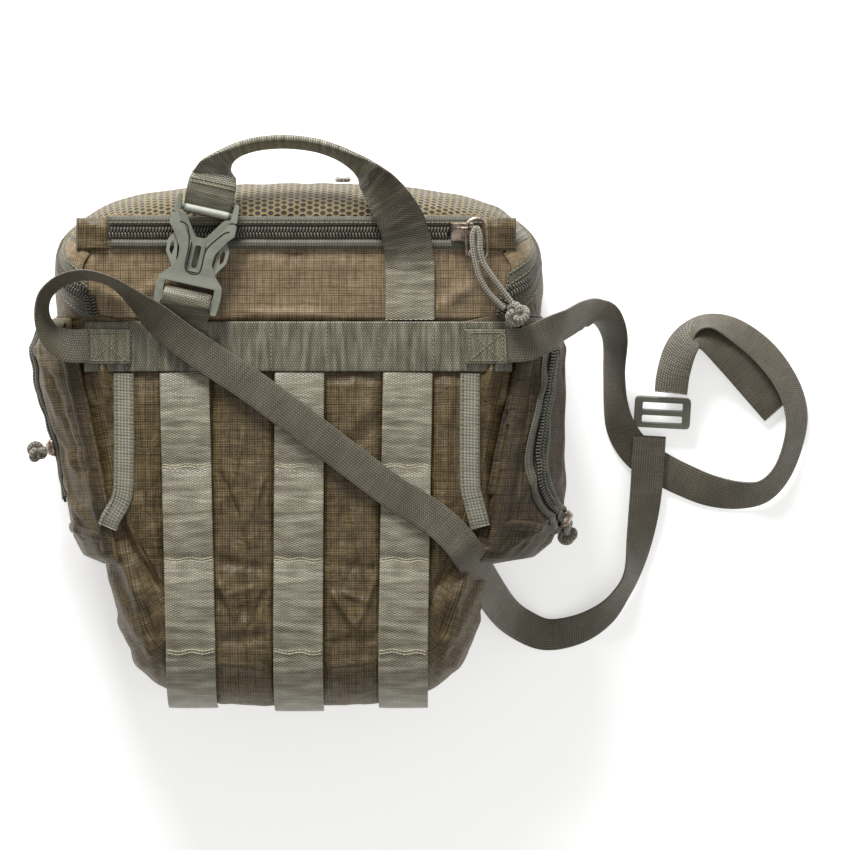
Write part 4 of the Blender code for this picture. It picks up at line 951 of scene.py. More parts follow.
# %% Lid pocket zip
ZIP_Y = 107.0
zip_x = np.linspace(-94, 76, 400)


def on_lid(x, y, lift):
    """Points on the lid at x and y in mm, lift above its plane."""
    x, y, lift = np.broadcast_arrays(np.asarray(x, float), y, lift)
    return np.stack([x, y, front(y) + lift], axis=-1)


up_all = np.broadcast_to([0, 0, 1.0], (400, 3))
coil_line = on_lid(zip_x, ZIP_Y, 1.5)
teeth("lid_zip_teeth", coil_line, up_all, "lid", replaces=("lid_zip_coil",))
u, v = np.meshgrid(np.linspace(-96, 90, 220), np.linspace(103.0, 111.2, 12))
# The ground under the teeth is the darker tape: painted shade.
show("lid_zip_ground", surface("lid_zip_ground", on_lid(u, v, 0.9), inside=(0, 107, 0)), groove_shade_tape, "lid",
     ("lid_zip_tape",))


def welt(name, y0, y1, height, x0, x1, material, wave, flat_end=3.0, lift=0.3):
    """A soft roll of cloth along X between two heights on the page: half an ellipse that swells and pinches."""
    x = np.linspace(x0, x1, 240)[:, None]
    turn = np.linspace(0, np.pi, 16)[None, :]
    end = np.clip(np.minimum(x - x0, x1 - x) / flat_end, 0.35, 1)
    rise = (height + ripple(x, 0 * x, 12, 16, wave)) * end
    middle, half = (y0 + y1) / 2 + ripple(x, 0 * x, 15, 40, wave * 0.5), (y1 - y0) / 2
    return show(name, surface(name, on_lid(x, middle - half * np.cos(turn), lift + rise * np.sin(turn) ** 0.7),
                              inside=(0, (y0 + y1) / 2, 60)), material, "lid")


upper_welt = welt("lid_zip_upper_tape", 110.6, 115.2, 1.5, -95, 93, zip_tape, 0.1)
lower_welt = welt("lid_zip_lower_welt", 99.0, 103.8, 2.3, -95, 94, zip_tape, 0.22)
stitches("lid_zip_upper_seam", on_lid(np.linspace(-94, 92, 60), 112.0, 1.9), (0, 0, 1), "lid")
stitches("lid_zip_lower_seam", on_lid(np.linspace(-94, 92, 60), 99.6, 0.9), (0, 0, 1), "lid")


def folded_patch(name, x0, x1, y0, y1, fold_side, replaced):
    """A folded scrap of ripstop over a zip's end: a plane with rounded borders and one raised fold."""
    u, v = np.meshgrid(np.linspace(0, 1, 40), np.linspace(0, 1, 30))
    x, y = x0 + (x1 - x0) * u, y0 + (y1 - y0) * v
    border = np.clip(np.minimum(np.minimum(u, 1 - u) * (x1 - x0), np.minimum(v, 1 - v) * (y1 - y0)) / 1.3, 0, 1)
    fold = np.exp(-((u - (0.85 if fold_side > 0 else 0.15)) / 0.1) ** 2) * 0.6
    lift = 0.4 + 1.6 * np.sqrt(border) + fold + 0.3 * np.sin(v * 9 + u * 3) * border
    drop = np.clip((np.abs(x) - 99) / 9, 0, 1) ** 2 * 3.6 + np.clip((y - 109) / 6, 0, 1) ** 2 * 2.2
    return show(name, surface(name, on_lid(x, y, lift - drop), np.stack([x, y], -1), inside=(0, 107, 0)),
                body_ripstop, "lid",
                (replaced,))


folded_patch("left_zip_fold", -110.5, -94.2, 98.2, 114.6, 1, "left_zip_patch")
folded_patch("right_zip_fold", 92.0, 109.6, 98.2, 114.6, -1, "right_zip_patch")
print("Lid zip made")

# %% [markdown]
# ## Belt, strips and edge tapes
# The webbing on the front is sewn down at short bars and stands up a little between them, so that
# clips can be threaded behind it. The belt lies across, with the strips' ends tucked under it. A strip
# is the flat oval carried down the front and round the bottom; its height is an arch between each two bars.

# %% Belt and strips
BARS_Y = (37.6, -9.5, -56.5, -102.5)


def web_piece(name, route, width, material, body, replaces, count=260, roll=0.0, thick=1.3, wide=None,
              up=(0, 0, 1)):
    line = smooth(route, count)
    share = 1.0 if wide is None else np.interp(np.linspace(0, 1, count), np.linspace(0, 1, len(wide)), wide)
    mesh = sweep(name, line[:, :3], flat_oval(), roll=roll, wide=width * share, high=thick, up=up)
    return show(name, mesh, material, body, replaces), line


belt_route = [(-106.2, 50.2, 89.6, 0), (-98, 50.2, 90.3, 0), (-70, 50.2, 90.4, 0), (0, 50.2, 90.6, 0),
              (70, 50.2, 90.4, 0),
              (98, 50.2, 90.3, 0), (107.6, 50.2, 89.6, 0)]
web_piece("belt", belt_route, 25.2, belt_nylon, "pack", ("belt_webbing",))
for x in (-106 + 21, -68.5, -41.5, -12.8, 14.8, 41, 68.5, 86):
    stitches("belt_bar_" + str(round(x + 200)), [(x, 38.8, 91.25), (x, 61.8, 91.25)], (0, 0, 1),
             "pack", pitch=2.0)


def strip_route(x, foot, lean):
    """Down the front, leaning sideways by lean, arched between bars, then round the bottom edge."""
    y = np.linspace(37.2, -97, 60)
    height = front(y) + 0.95
    for high, low in zip(BARS_Y, BARS_Y[1:]):
        inside = (y < high) & (y > low)
        height[inside] += 2.3 * np.sin(np.pi * (high - y[inside]) / (high - low)) ** 0.6
    face = np.stack([x + lean * (37.2 - y) / 134 - lean * 0.4, y, height, 0 * y], axis=1)
    x = x + lean * 0.6
    turn = [(x, foot + 30, 87.2, 0), (x, foot + 22, 85.6, 0), (x, foot + 14, 82.0, 0), (x, foot + 7.5, 75.5, 0),
            (x, foot + 2.6, 67, 0), (x, foot - 0.4, 58, 0), (x, foot - 1.0, 50.5, 0)]
    return np.vstack([face, turn])


for name, x, foot, lean in zip(("left_strip", "middle_strip", "right_strip"), STRIP_X,
                               (-131.0, -132.6, -131.0), (3.0, -0.8, -2.4)):
    web_piece(name + "_webbing", strip_route(x, foot, lean), 25.0, wide_nylon, "pack",
              (name,), count=420)
    for y in BARS_Y[1:]:
        across = np.linspace(-11.8, 11.8, 40)
        at_x = x + lean * (37.2 - y) / 134 - lean * 0.4
        for row in (-0.7, 0.7):
            bow = row + 0.5 * np.sin(across * 0.5 + x) + 0.03 * across * np.sign(lean)
            bar = np.stack([at_x + across, y + bow, front(y) + 1.85 + 0 * across], axis=1)
            stitches(name + "_bar_" + str(round(200 + y + row * 2)), bar, (0, 0, 1), "pack", pitch=1.7,
                     yarn=pale_thread)

for name, side in (("left_side_tape", -1), ("right_side_tape", 1)):
    bend = 10.5 if side < 0 else 6.5
    route = [(side * 86.6, 37, front(37) + 1.3, 0), (side * 86.4, 10, front(10) + 1.5, 0),
             (side * 86.6, -18, front(-18) + 1.4, 0),
             (side * 88.2, -27, front(-27) + 1.2, 0), (side * (86.4 + bend * 0.6), -35, front(-35) + 0.6, 0),
             (side * (86.4 + bend * 0.8), -40, front(-40) - 0.4, 0)]
    web_piece(name + "_knit", route, 10.2, knit_tape, "pack", (name,), count=120, thick=1.6)
    for edge in (-3.9, 3.9):
        line = smooth(route, 60)[:, :3] + [edge, 0, 0.95]
        stitches(name + "_seam_" + str(round(edge + 10)), line, (0, 0, 1), "pack")
print("Belt, strips and tapes made")

# %% [markdown]
# The strap's ends are folded under and held on the belt by a square of stitches with a cross in it,
# the strongest way to sew webbing down.

# %% Strap anchors
for name, x0, x1 in (("left", -104.5, -83.2), ("right", 84.0, 105.2)):
    middle = (x0 + x1) / 2
    y0, y1 = 41.4, 58.8
    route = [(x0, 50.1, 92.0, 0), (x0 + 2, 50.1, 92.35, 0), (middle, 50.1, 92.4, 0),
             (x1 - 2, 50.1, 92.35, 0), (x1, 50.1, 92.0, 0)]
    web_piece(name + "_anchor_patch", route, 17.6, belt_nylon, "pack", (name + "_strap_anchor",),
              count=60, thick=1.7)
    a, b, c, d = x0 + 2.4, x1 - 2.4, y0 + 1.8, y1 - 1.8
    box_line = [(a, c), (b, c), (b, d), (a, d), (a, c), (b, d)]
    for part, line in (("square", box_line), ("cross", [(a, d), (b, c)])):
        corners = np.array([(x, y, 93.25) for x, y in line])
        dense = np.concatenate([np.linspace(p, q, 30) for p, q in zip(corners, corners[1:])])
        stitches(name + "_anchor_" + part, dense, (0, 0, 1), "pack", pitch=2.0)
print("Anchors sewn")

# %% [markdown]
# ## Side pockets
# A zipped pocket swells from each side wall like half a loaf. Its form depends on two numbers, from
# the back to the front and from the top down; creases run from its zip to its corners, where
# the cloth has more length than it needs. The left one lies flatter than the right one.

# %% Pocket form
POCKET_EDGE = {-1: [(64.5, 123), (60, 129), (50, 133), (30, 130), (0, 120.5), (-20, 117), (-45, 113),
                    (-54, 108), (-58, 98.5)],
               1: [(64.5, 123), (60, 129.5), (50, 133.5), (25, 133.5), (0, 133.5), (-25, 133.5), (-37, 132),
                   (-48, 127),
                   (-55, 118), (-58, 98.5)]}
half_outline = np.array(HALF_OUTLINE, float)
POCKET_DEEP, POCKET_LONG = 92.0, 122.5


def wall_x(y, z):
    """Half width of the bag at a place along it and a height."""
    width = np.interp(-y, -half_outline[:, 1], half_outline[:, 0])
    return width - np.interp(z, [0, 20, 45, 65, 77, 84, 88], [4, 1.4, 0, 1.6, 5, 9.5, 16])


def pocket(side, u, v, lift=0.0, soft=1.0):
    """A point on a pocket at u from back to front and v from top to bottom, lifted off it along its normal."""
    def spot(u, v):
        y = 64.5 - POCKET_LONG * v
        z = 10 + 74 * u
        edge = np.array(POCKET_EDGE[side], float)
        swell = np.sin(np.pi * np.clip(u, 0, 1)) ** 0.55
        reach = 0.6 + (np.interp(-y, -edge[:, 0], edge[:, 1]) - wall_x(y, 45.0)) * swell
        turn = np.maximum(0, u - 0.55) * 1.4
        return np.stack([side * (wall_x(y, z) + reach * (1 - 0.25 * turn)), y, z + reach * turn * 0.55], axis=-1)
    u, v = np.broadcast_arrays(np.asarray(u, float), np.asarray(v, float))
    a, b = u * POCKET_DEEP, v * POCKET_LONG
    folds = {-1: [(52, 14, 86, 30, 2.6, 1.3), (54, 40, 80, 78, 3.0, 1.5), (60, 60, 70, 112, 2.6, 1.4),
                  (74, 20, 82, 74, 2.4, -1.3),
                  (50, 78, 84, 104, 2.8, 1.5), (66, 8, 72, 52, 2.6, 1.1), (84, 60, 88, 108, 2.4, 1.1),
                  (20, 30, 30, 90, 4, 1.4)],
             1: [(68, 12, 84, 40, 2.6, 1.2), (52, 26, 60, 84, 3.0, 1.1), (72, 58, 86, 96, 2.6, 1.5),
                 (60, 92, 86, 116, 2.6, 1.8),
                 (48, 96, 62, 118, 2.6, -1.4), (80, 40, 88, 70, 2.2, 1.2), (74, 98, 76, 120, 2.2, 1.4),
                 (20, 30, 30, 90, 4, 1.4)]}
    wave = creases(a, b, folds[side]) + ripple(a, b, 21 + side, 17, 0.4)
    wave = wave * np.clip(np.minimum(np.minimum(u, 1 - u) * 14, np.minimum(v, 1 - v) * 14), 0, 1) * soft
    du = spot(u + 0.01, v) - spot(u - 0.01, v)
    dv = spot(u, v + 0.01) - spot(u, v - 0.01)
    out = unit(np.cross(du, dv))
    out *= np.where(out[..., :1] * side < 0, -1, 1)
    return spot(u, v) + out * (1.25 + wave + lift)[..., None], out


for name, side in (("left_pocket", -1), ("right_pocket", 1)):
    u, v = np.meshgrid(np.linspace(0.0, 1.0, 110), np.linspace(0.0, 1.0, 150))
    grid, _ = pocket(side, u, v)
    # The right pocket takes the darker ripstop copy: painted shade.
    cloth = show(name + "_cloth", surface(name + "_cloth", grid,
                                          np.stack([u * POCKET_DEEP, v * POCKET_LONG], -1), inside=(0, 0, 30)),
                 shade_painted_ripstop if side > 0 else body_ripstop, "pack", (name,))
    thicken(cloth, 0.5)
print("Pockets made")

# %% Pocket zips and bands
POCKET_ZIP = {-1: [(0.50, 0.05), (0.50, 0.24), (0.50, 0.4), (0.5, 0.55), (0.51, 0.66), (0.54, 0.74)],
              1: [(0.80, 0.02), (0.81, 0.14), (0.82, 0.28), (0.84, 0.42), (0.85, 0.56), (0.82, 0.67),
                  (0.75, 0.75), (0.64, 0.805), (0.54, 0.825)]}
pocket_line = {}


def pocket_band(name, side, route, low, high, lift, material, bulge=0.0, replaces=()):
    """A strip on a pocket between two distances from a line: flat tape, or a soft roll where bulge isn't 0."""
    line = smooth([(a * POCKET_DEEP, b * POCKET_LONG, 0) for a, b in route], 160)[:, :2]
    run = unit(np.gradient(line, axis=0))
    cross = np.stack([run[:, 1], -run[:, 0]], axis=1)
    q = np.linspace(0, 1, 9)
    place = line[:, None] + cross[:, None] * (low + (high - low) * q)[None, :, None]
    grid, _ = pocket(side, place[..., 0] / POCKET_DEEP, place[..., 1] / POCKET_LONG,
                     lift + bulge * np.sin(np.pi * q)[None] ** 0.6)
    return show(name, surface(name, grid, inside=(0, 0, 30)), material, "pack", replaces)


for name, side in (("left_pocket", -1), ("right_pocket", 1)):
    line = smooth([(a * POCKET_DEEP, b * POCKET_LONG, 0) for a, b in POCKET_ZIP[side]], 260)
    pocket_line[side], pocket_out = pocket(side, line[:, 0] / POCKET_DEEP, line[:, 1] / POCKET_LONG, 1.7)
    # The ground under the teeth is the darker tape: painted shade.
    pocket_band(name + "_zip_ground", side, POCKET_ZIP[side], -3.4, 3.4, 0.7, groove_shade_tape)
    teeth(name + "_teeth", pocket_line[side], pocket_out, "pack", replaces=(name + "_coil",))
    for edge, low, high in (("near", -6.4, -3.0), ("far", 3.0, 6.4)):
        pocket_band(name + "_zip_" + edge, side, POCKET_ZIP[side], low, high, 0.5, zip_tape,
                    bulge=1.3)
# These bands take the darker ripstop copy: painted shade.
for name, side, route in (("left_pocket_low_band", -1, [(0.52, 0.86), (0.7, 0.86), (0.98, 0.9)]),
                          ("right_pocket_low_band", 1, [(0.44, 0.865), (0.7, 0.86), (0.97, 0.84)]),
                          ("left_pocket_top_band", -1, [(0.5, 0.03), (0.7, 0.03), (0.97, 0.04)]),
                          ("right_pocket_front_band", 1, [(0.965, 0.05), (0.965, 0.4), (0.965, 0.8),
                                  (0.96, 0.95)]),
                          ("left_pocket_front_band", -1, [(0.965, 0.05), (0.965, 0.4), (0.965, 0.8),
                                  (0.96, 0.95)])):
    pocket_band(name, side, route, -2.6, 2.6, 0.3, shade_painted_ripstop, bulge=1.2)
print("Pocket zips made")

# %% [markdown]
# ## Metal and cord
# The zips' sliders are die-cast zinc with a worn copper-nickel plate: bright where fingers rub it and
# brown in the corners. The pulls are 3 mm braided cord. A braid is two sets of yarns that
# wind opposite ways, which gives rows of small diamonds, light and dark.

# %% Slider metal and braid
slider_metal, metal_tree, metal_shader = new_material("worn_copper_nickel_plate", Metallic=1.0, Roughness=0.34)
worn = add_node(metal_tree, "TexNoise",
                {"Vector": add_node(metal_tree, "TexCoord").outputs["Object"], "Scale": 260.0,
                                        "Detail": 4.0})
metal_ramp = add_node(metal_tree, "ValToRGB", {0: worn.outputs[0]})
metal_ramp.color_ramp.elements[0].color = linear("#6e5f54")
metal_ramp.color_ramp.elements[0].position = 0.35
metal_ramp.color_ramp.elements[1].color = linear("#cbb9a8")
metal_ramp.color_ramp.elements[1].position = 0.62
metal_tree.links.new(metal_ramp.outputs[0], metal_shader.inputs["Base Color"])


def braid(name, light, dark, step=1.3):
    """Diamonds: the product of two sines along the two slants of the UV map."""
    material, tree, shader = new_material(name, Roughness=0.6, Sheen_Weight=0.3)
    uv = add_node(tree, "UVMap", uv_map="millimetres")
    ways = []
    for sign in (1, -1):
        dot = add_node(tree, "VectorMath", {0: uv.outputs[0], 1: (sign * 3.1416 / step, 3.1416 / step, 0)},
                       operation="DOT_PRODUCT")
        ways.append(add_node(tree, "Math", {0: dot.outputs["Value"]}, operation="SINE"))
    both = add_node(tree, "Math", {0: ways[0].outputs[0], 1: ways[1].outputs[0]}, operation="MULTIPLY")
    tone = add_node(tree, "MapRange", {"Value": both.outputs[0], "From Min": -0.8, "From Max": 0.8})
    ramp = add_node(tree, "ValToRGB", {0: tone.outputs[0]})
    ramp.color_ramp.elements[0].color = linear(dark)
    ramp.color_ramp.elements[1].color = linear(light)
    rise = add_node(tree, "Math", {0: both.outputs[0]}, operation="ABSOLUTE")
    bump = add_node(tree, "Bump", {"Height": rise.outputs[0], "Distance": 0.0004, "Strength": 0.9})
    tree.links.new(ramp.outputs[0], shader.inputs["Base Color"])
    tree.links.new(bump.outputs[0], shader.inputs["Normal"])
    return material


pull_braid = braid("braided_pull_cord", "#b3ab99", "#3d3628")
for node in ("front_slider", "front_slider_bridge", "front_ring_pull", "left_main_slider", "right_main_slider"):
    nodes[node].data.materials.clear()
    nodes[node].data.materials.append(slider_metal)
print("Metal on five sliders and pulls")

# %% [markdown]
# ## Pull cords
# The lid pocket's pull is a loop of cord: it goes through the oval ring, both strands run down the
# front and end in one fat knot. A knot is a real curve too: the strand goes twice round while
# it dips three times, and a round profile along that curve is the knot.

# %% Cords and knots
def cord_piece(name, route, width, count, body, replaces):
    """A round cord along a smooth route, with its centreline and its length, both in metres."""
    line = smooth([(*point, 0) for point in route], count)[:, :3]
    mesh = sweep(name, line, circle(14) * width, up=(0.3, 0.2, 1))
    piece = show(name, mesh, pull_braid, body, replaces)
    return piece, line * MM, np.linalg.norm(np.diff(line, axis=0), axis=1).sum() * MM


def knot(name, middle, size, strand, tilt, body, replaces):
    """A trefoil: radius 2 + cos 3t, turned by 2t, height -sin 3t, scaled to the knot's size."""
    t = np.linspace(0, 2 * np.pi, 150)
    radius = (1.75 + np.cos(3 * t)) * size / 3.1
    line = np.stack([radius * np.cos(2 * t), radius * np.sin(2 * t), -1.1 * np.sin(3 * t) * size / 3.1], axis=1)
    c, s = np.cos(tilt), np.sin(tilt)
    line = line @ np.array([[c, 0, s], [0, 1, 0], [-s, 0, c]]) + middle
    mesh = sweep(name, line, circle(12) * strand, up=(0.2, 0.3, 1), ends=True)
    return show(name, mesh, pull_braid, body, replaces)


RING_Z = front(107) + 7.4
over = RING_Z + 3.0
pull_route = [(107.5, 71.5, over - 2.4), (102.2, 78.5, over - 1.3), (96.6, 86.0, over - 0.2),
              (92.8, 92.0, over + 0.3), (91.4, 98.0, over + 0.9),
              (91.2, 105.0, over + 0.9), (89.6, 109.0, over + 0.7), (87.8, 105.4, over + 0.9),
              (88.0, 98.4, over + 1.0), (89.2, 91.5, over + 0.6),
              (91.4, 84.0, over), (96.0, 76.4, over - 1.2), (103.5, 69.0, over - 2.4)]
pull_cord, pull_line, pull_length = cord_piece("front_pull_loop", pull_route, 3.0, 150, "front_pull",
                                               ("front_pull_cord",))
pull_knot = knot("front_pull_trefoil", np.array([109.8, 66.2, over - 2.0]), 5.4, 3.9, 0.3, "front_pull",
                 ("front_pull_knot",))
wrap_turn = np.linspace(0, 2 * np.pi * 1.05, 60)
wrap_line = np.stack([89.6 + 2.6 * np.cos(wrap_turn), 95.8 + 3.9 * np.sin(wrap_turn) * 0.8,
                      RING_Z + 0.4 + 2.2 * np.sin(wrap_turn)], axis=1)
show("front_pull_hitch", sweep("front_pull_hitch", wrap_line, circle(12) * 2.9, up=(1, 0.2, 0.1)),
     pull_braid, "front_pull")
for name, x in (("left_main", 22.0), ("right_main", 34.5)):
    y, z = 131.0, 10.0
    loop = [(x - 1.2, y + 6.1, z + 2), (x - 2.6, y + 6.3, z + 12), (x - 2.7, y + 5.2, z + 24),
            (x, y + 4.9, z + 30),
            (x + 2.7, y + 5.2, z + 24), (x + 2.6, y + 6.3, z + 12), (x + 1.2, y + 6.1, z + 2)]
    line = smooth([(*point, 0) for point in loop], 90)[:, :3]
    piece = show(name + "_loop", sweep(name + "_loop", line, circle(12) * 2.2, up=(0, 1, 0.1)), pull_braid,
                 name + "_slider",
                 (name + "_cord",))
for name, side, size, u_end, v_end in (("left_pocket", -1, 4.6, 0.505, 0.52),
                                       ("right_pocket", 1, 4.6, 0.56, 0.82)):
    k_low, k_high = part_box(name + "_pull_knot")
    seat, face = pocket(side, [u_end], [v_end], 2.6)
    along = unit(pocket(side, [u_end], [v_end + 0.02], 2.6)[0] - seat)
    show(name + "_slider_block", strew(name + "_slider_block", pillow(9.0, 6.6, 3.4), seat, along,
                                       np.cross(face, along), face),
         slider_metal, name + "_slider", (name + "_pull_slider",))
    centre = np.array((k_low + k_high) / 2) / MM
    start = seat[0] + face[0] * 1.2
    route = [tuple(start), tuple(start + face[0] * 1.6 + (centre - start) * 0.25),
             tuple(start * 0.3 + centre * 0.7), tuple(centre)]
    cord_piece(name + "_pull_loop", route, 3.0, 40, name + "_slider", (name + "_pull_cord",))
    knot(name + "_pull_trefoil", centre, size, 3.3, 0.5 * side, name + "_slider", (name + "_pull_knot",))
print("Front pull cord", round(pull_length / MM), "mm")

# %% [markdown]
# ## The handle
# One piece of 25 mm webbing makes the riser, the handle and its left foot. Along the grip it is
# folded in half, which makes it narrow and thick; at each end it opens out again and turns flat. So its width,
# thickness and roll all change along the path.

# %% Handle, riser and foot
def turning_web(name, table, count, material, body, replaces):
    """A flat oval along a path whose columns are x, y, z, roll, width and thickness."""
    line = smooth(table, count)
    mesh = sweep(name, line[:, :3], flat_oval(24), roll=line[:, 3], wide=line[:, 4], high=line[:, 5])
    piece = show(name, mesh, material, body, replaces)
    return piece


ARCH = [(-41.2, 133.8, 95.3, 8, 23.2, 1.7), (-39.6, 138.4, 96.2, 26, 20.5, 2.0),
        (-37.2, 142.2, 96.4, 46, 16, 2.8), (-33.4, 145.8, 96.0, 62, 13, 3.5), (-27.5, 149.0, 95.4, 68, 12.0, 3.8),
        (-18, 151.4, 95.0, 70, 12.0, 3.8), (-5, 152.2, 94.8, 70, 12.0, 3.8), (9, 150.6, 94.8, 70, 12.0, 3.8),
        (20, 147.0, 95.6, 68, 12.5, 3.6), (28.0, 142.6, 97.0, 62, 14, 3.0), (33.8, 138.0, 98.6, 52, 17, 2.2),
        (37.8, 133.2, 99.4, 40, 20, 1.7)]
handle_web = turning_web("handle_folded_web", ARCH, 260, belt_nylon, "handle", ("handle_grip",))
RISER = [(56.5, 63.6, 90.4, 0, 24.6, 1.3), (56.5, 70, 90.8, 0, 24.6, 1.3), (56.6, 82, 91.0, 0, 24.6, 1.3),
         (56.4, 92, 92.2, 0, 24.6, 1.3),
         (55.4, 101, 95.6, 0, 24.4, 1.3), (52.8, 110.5, 99.4, -3, 23.6, 1.3),
         (48.4, 119, 101.4, -10, 22.5, 1.3), (43.6, 126, 101.2, -22, 21.5, 1.4),
         (39.6, 131.2, 100.0, -36, 20.5, 1.6), (35.8, 135.8, 99.0, -47, 18.5, 2.0)]
riser_web = turning_web("handle_riser_web", RISER, 220, riser_nylon, "lid", ("handle_riser",))
turn = np.radians(-12.5)
BUCKLE_Z = front(96) + 4.3


def on_buckle(u, v, w):
    """A point across, along and above the buckle, in the pack's millimetres."""
    u, v, w = np.broadcast_arrays(np.asarray(u, float), v, w)
    return np.stack([-49.6 + u * np.cos(turn) - v * np.sin(turn),
                     96.0 + u * np.sin(turn) + v * np.cos(turn), BUCKLE_Z + w], axis=-1)


foot_points = [on_buckle(0, 19.6, 0.6), on_buckle(0, 20.6, 0.3), on_buckle(0, 22.4, 0.5),
               on_buckle(0, 25.5, 1.6), on_buckle(0, 30, 3.4),
               on_buckle(0, 36, 3.6), on_buckle(0, 41.5, 2.2)]
foot_table = [(*point, 0, wide, thick) for point, wide, thick in
              zip(foot_points, (23.4, 23.6, 23.8, 24, 24.2, 24.2, 21), (1.3, 1.3, 1.3, 1.4, 1.6, 1.7, 1.7))]
foot_web = turning_web("handle_left_foot", foot_table, 120, belt_nylon, None, ())
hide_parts("handle_end_web")
tuple(on_buckle(0, 38, 3) * MM)
tuple(on_buckle(0, 26, 3) * MM)
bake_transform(foot_web)
for row in (30.5, 32.5):
    across = np.linspace(-11, 11, 20)
    stitches("handle_foot_bar_" + str(round(row * 10)),
             on_buckle(across, row + 4.5, 4.7 - (row - 30) * 0.12), (0, 0, 1), "buckle_male", pitch=1.6)
loop_points = [(-56.6, 59.5, 92.2), (-56.2, 64.0, 93.6), (-55.7, 67.6, 97.0), on_buckle(0, -26.2, 7.2),
               on_buckle(0, -24.0, 8.4), on_buckle(0, -21.6, 8.3),
               on_buckle(0, -19.6, 7.0), on_buckle(0, -18.6, 4.6), on_buckle(0, -18.2, 1.4)]
loop_table = [(*point, 0, 24.0, 1.3) for point in loop_points]
loop_web = turning_web("buckle_foot_web", loop_table, 120, belt_nylon, None, ("buckle_web_loop",))
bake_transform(loop_web)
print("Handle webbing made")

# %% [markdown]
# ## Buckles
# The side-release buckle and the ladder lock are moulded acetal: hard, a little waxy, grey green, with
# a soft even gloss and a fine spark-eroded grain. Their CAD shapes are right, so they stay and get
# this finish; edges rubbed paler come from the object's own pointiness. A near-black strip on the
# parting groove is painted shade, and a paler face on the male buckle's bar is a painted highlight.

# %% Moulded plastics
def acetal(name, base, pale, grain=0.00006):
    """Moulded plastic: one colour, paler on worn edges, with a fine grain as bump."""
    material, tree, shader = new_material(name, Roughness=0.38, Specular_IOR_Level=0.5, IOR=1.48)
    place = add_node(tree, "TexCoord")
    edge = add_node(tree, "NewGeometry")
    rub = add_node(tree, "TexNoise", {"Vector": place.outputs["Object"], "Scale": 300.0, "Detail": 2.0})
    worn = add_node(tree, "MapRange", {"Value": edge.outputs["Pointiness"], "From Min": 0.49, "From Max": 0.6})
    tone = add_node(tree, "Math", {0: rub.outputs[0], 1: 0.35, 2: worn.outputs[0]}, operation="MULTIPLY_ADD")
    ramp = add_node(tree, "ValToRGB", {0: tone.outputs[0]})
    ramp.color_ramp.elements[0].color = linear(base)
    ramp.color_ramp.elements[0].position = 0.1
    ramp.color_ramp.elements[1].color = linear(pale)
    ramp.color_ramp.elements[1].position = 0.9
    bump = add_node(tree, "Bump", {"Height": rub.outputs[0], "Distance": grain, "Strength": 0.6})
    tree.links.new(ramp.outputs[0], shader.inputs["Base Color"])
    tree.links.new(bump.outputs[0], shader.inputs["Normal"])
    return material


buckle_acetal = acetal("grey_green_acetal", "#4b4e42", "#85887a")
lock_acetal = acetal("dark_green_acetal", "#2c2e22", "#626350")
for node in ("buckle_female", "buckle_male", "left_spring_arm", "right_spring_arm", "ladder_lock"):
    nodes[node].data.materials.clear()
    nodes[node].data.materials.append(lock_acetal if node == "ladder_lock" else buckle_acetal)
# A thin near-black strip along the parting groove: painted shade.
groove_painted_shade = acetal("buckle_groove_painted_shade", "#1c1d17", "#2b2c24")
PLATE_TOP = float(np.array([list(point.co) for point in nodes["buckle_female"].data.vertices])[:,
        2].max()) / MM - BUCKLE_Z
groove_plan = [(-11.6, 14.3), (-8.6, 13.6), (-6.6, 11.0), (-4.6, 3.4), (-4.4, -6.0), (-3.2, -9.0),
               (-0.2, -10.1), (2.8, -9.2), (3.8, -6.4),
               (3.9, 1.0), (5.4, 5.4), (10.8, 12.4), (13.6, 14.2)]
groove_line = smooth([(*on_buckle(u, v, PLATE_TOP + 0.02), 0) for u, v in groove_plan], 140)[:, :3]
show("buckle_parting_line", sweep("buckle_parting_line", groove_line, flat_oval(12), wide=0.75, high=0.12),
     groove_painted_shade, "lid")
# A paler acetal face on the male buckle's bar: a painted highlight.
bar_painted_highlight = acetal("bar_acetal_painted_highlight", "#85887c", "#c9cabf")
bar_line = smooth([(*on_buckle(u, 22.0, 3.7), 0) for u in (-11.3, -4, 4, 11.3)], 24)[:, :3]
show("male_bar_face", sweep("male_bar_face", bar_line, circle(20) * 3.5, up=(0, 0, 1), ends=True), bar_painted_highlight,
     "buckle_male")
print("Acetal on five nodes")

# %% [markdown]
# ## Linings and the back
# Inside, seen only when the lid is open, are a plain woven lining and a sheet of stiffener. The back is
# a pad of spacer mesh. Their solids have no UV map, so their patterns read object coordinates.

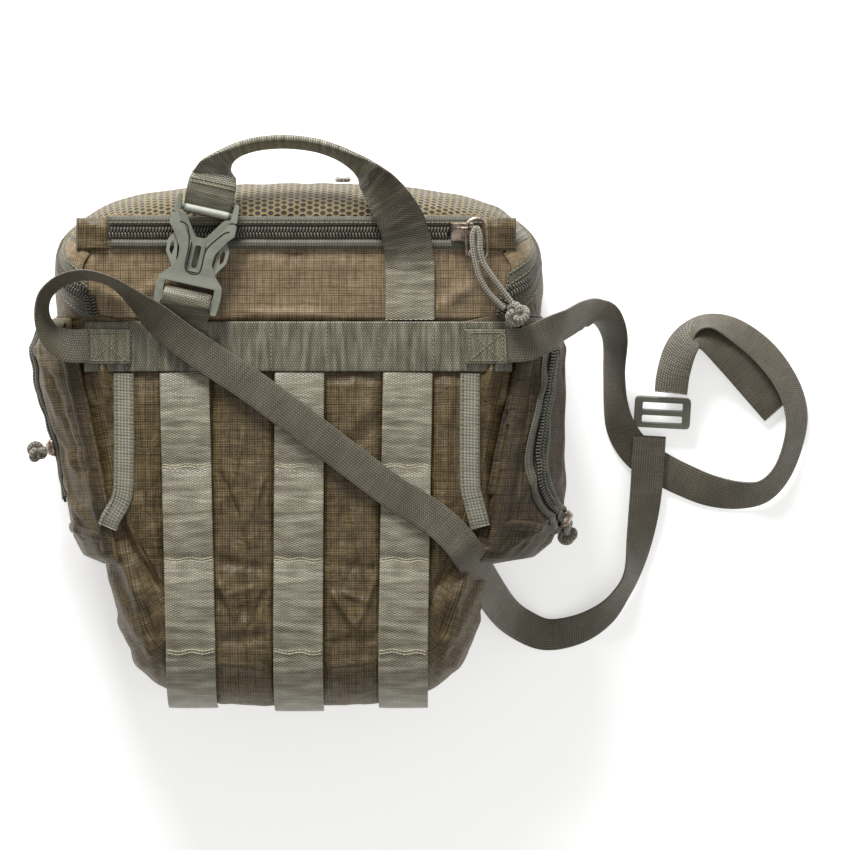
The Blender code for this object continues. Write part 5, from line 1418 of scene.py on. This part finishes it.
# %% Linings and back pad
def plain_lining(name, light, dark):
    """Plain weave at 1.2 mm on object coordinates, with soft blotches."""
    material, tree, shader = new_material(name, Roughness=0.7, Sheen_Weight=0.2)
    place = add_node(tree, "TexCoord")
    weave = add_node(tree, "TexChecker", {"Vector": place.outputs["Object"], "Scale": 830.0})
    cloud = add_node(tree, "TexNoise", {"Vector": place.outputs["Object"], "Scale": 45.0, "Detail": 4.0})
    tone = add_node(tree, "Math", {0: weave.outputs["Fac"], 1: 0.25, 2: cloud.outputs[0]},
                    operation="MULTIPLY_ADD")
    ramp = add_node(tree, "ValToRGB", {0: tone.outputs[0]})
    ramp.color_ramp.elements[0].color = linear(dark)
    ramp.color_ramp.elements[0].position = 0.3
    ramp.color_ramp.elements[1].color = linear(light)
    bump = add_node(tree, "Bump", {"Height": tone.outputs[0], "Distance": 0.0002})
    tree.links.new(ramp.outputs[0], shader.inputs["Base Color"])
    tree.links.new(bump.outputs[0], shader.inputs["Normal"])
    return material


lining_weave = plain_lining("plain_weave_lining", "#6b614c", "#3c3427")
stiffener_sheet = plain_lining("polyethylene_stiffener", "#35332f", "#232220")
for node in ("front_lining", "lid_lining", "back_lining", "back_stiffener"):
    nodes[node].data.materials.clear()
    nodes[node].data.materials.append(stiffener_sheet if node == "back_stiffener" else lining_weave)
spread = np.linspace(0, 1, 361)[:-1]
base = shell(spread, np.zeros(360))[:, :2]
reach = np.concatenate([np.linspace(0.03, 0.97, 44), [0.985, 0.995, 1.0, 0.995, 0.985, 0.96, 0.9]])
rise = np.concatenate([np.full(44, 0.0), [0.35, 1.2, 2.6, 4.0, 4.8, 5.0, 5.0]])
edge = base * 0.982
plan = edge[None] * reach[:, None, None]
channel = np.exp(-((np.abs(plan[..., 0]) - 34) / 1.6) ** 2) + np.exp(-((plan[...,
        1] - 20) / 1.6) ** 2) * (np.abs(plan[..., 0]) < 34)
dent = np.clip(channel, 0, 1) * 0.9 * (np.arange(51)[:, None] < 40)
grid = np.concatenate([plan, (rise[:, None] + dent + 0.02)[..., None]], axis=2)
pad_uv = np.concatenate([grid, grid[:, :1]], axis=1)[..., :2]
back_pad = show("back_pad_mesh", surface("back_pad_mesh", grid, pad_uv, around=True, ends=True), roof_mesh,
                "pack",
                ("back_pad",))
print("Back pad", grid.shape[:2])

# %% [markdown]
# ## The table
# The pack lies on a plain matt table, nearly white. A little of its own light, as a
# light table has, keeps the shadow soft and pale.

# %% Table
table_material, _, table_shader = new_material("matt_white_table", Roughness=0.9)
table_shader.inputs["Base Color"].default_value = linear("#f4f4f2")
table_shader.inputs["Emission Color"].default_value = (1, 1, 1, 1)
table_shader.inputs["Emission Strength"].default_value = 0.5
corner = np.array([[[-1500.0, -1500.0], [1500.0, -1500.0]], [[-1500.0, 1500.0], [1500.0, 1500.0]]])
table = show("table", surface("table", np.concatenate([corner, np.full((2, 2, 1), -0.3)], axis=2),
                              inside=(0, 0, -900)),
             table_material, None)
print("Table 3 m square")
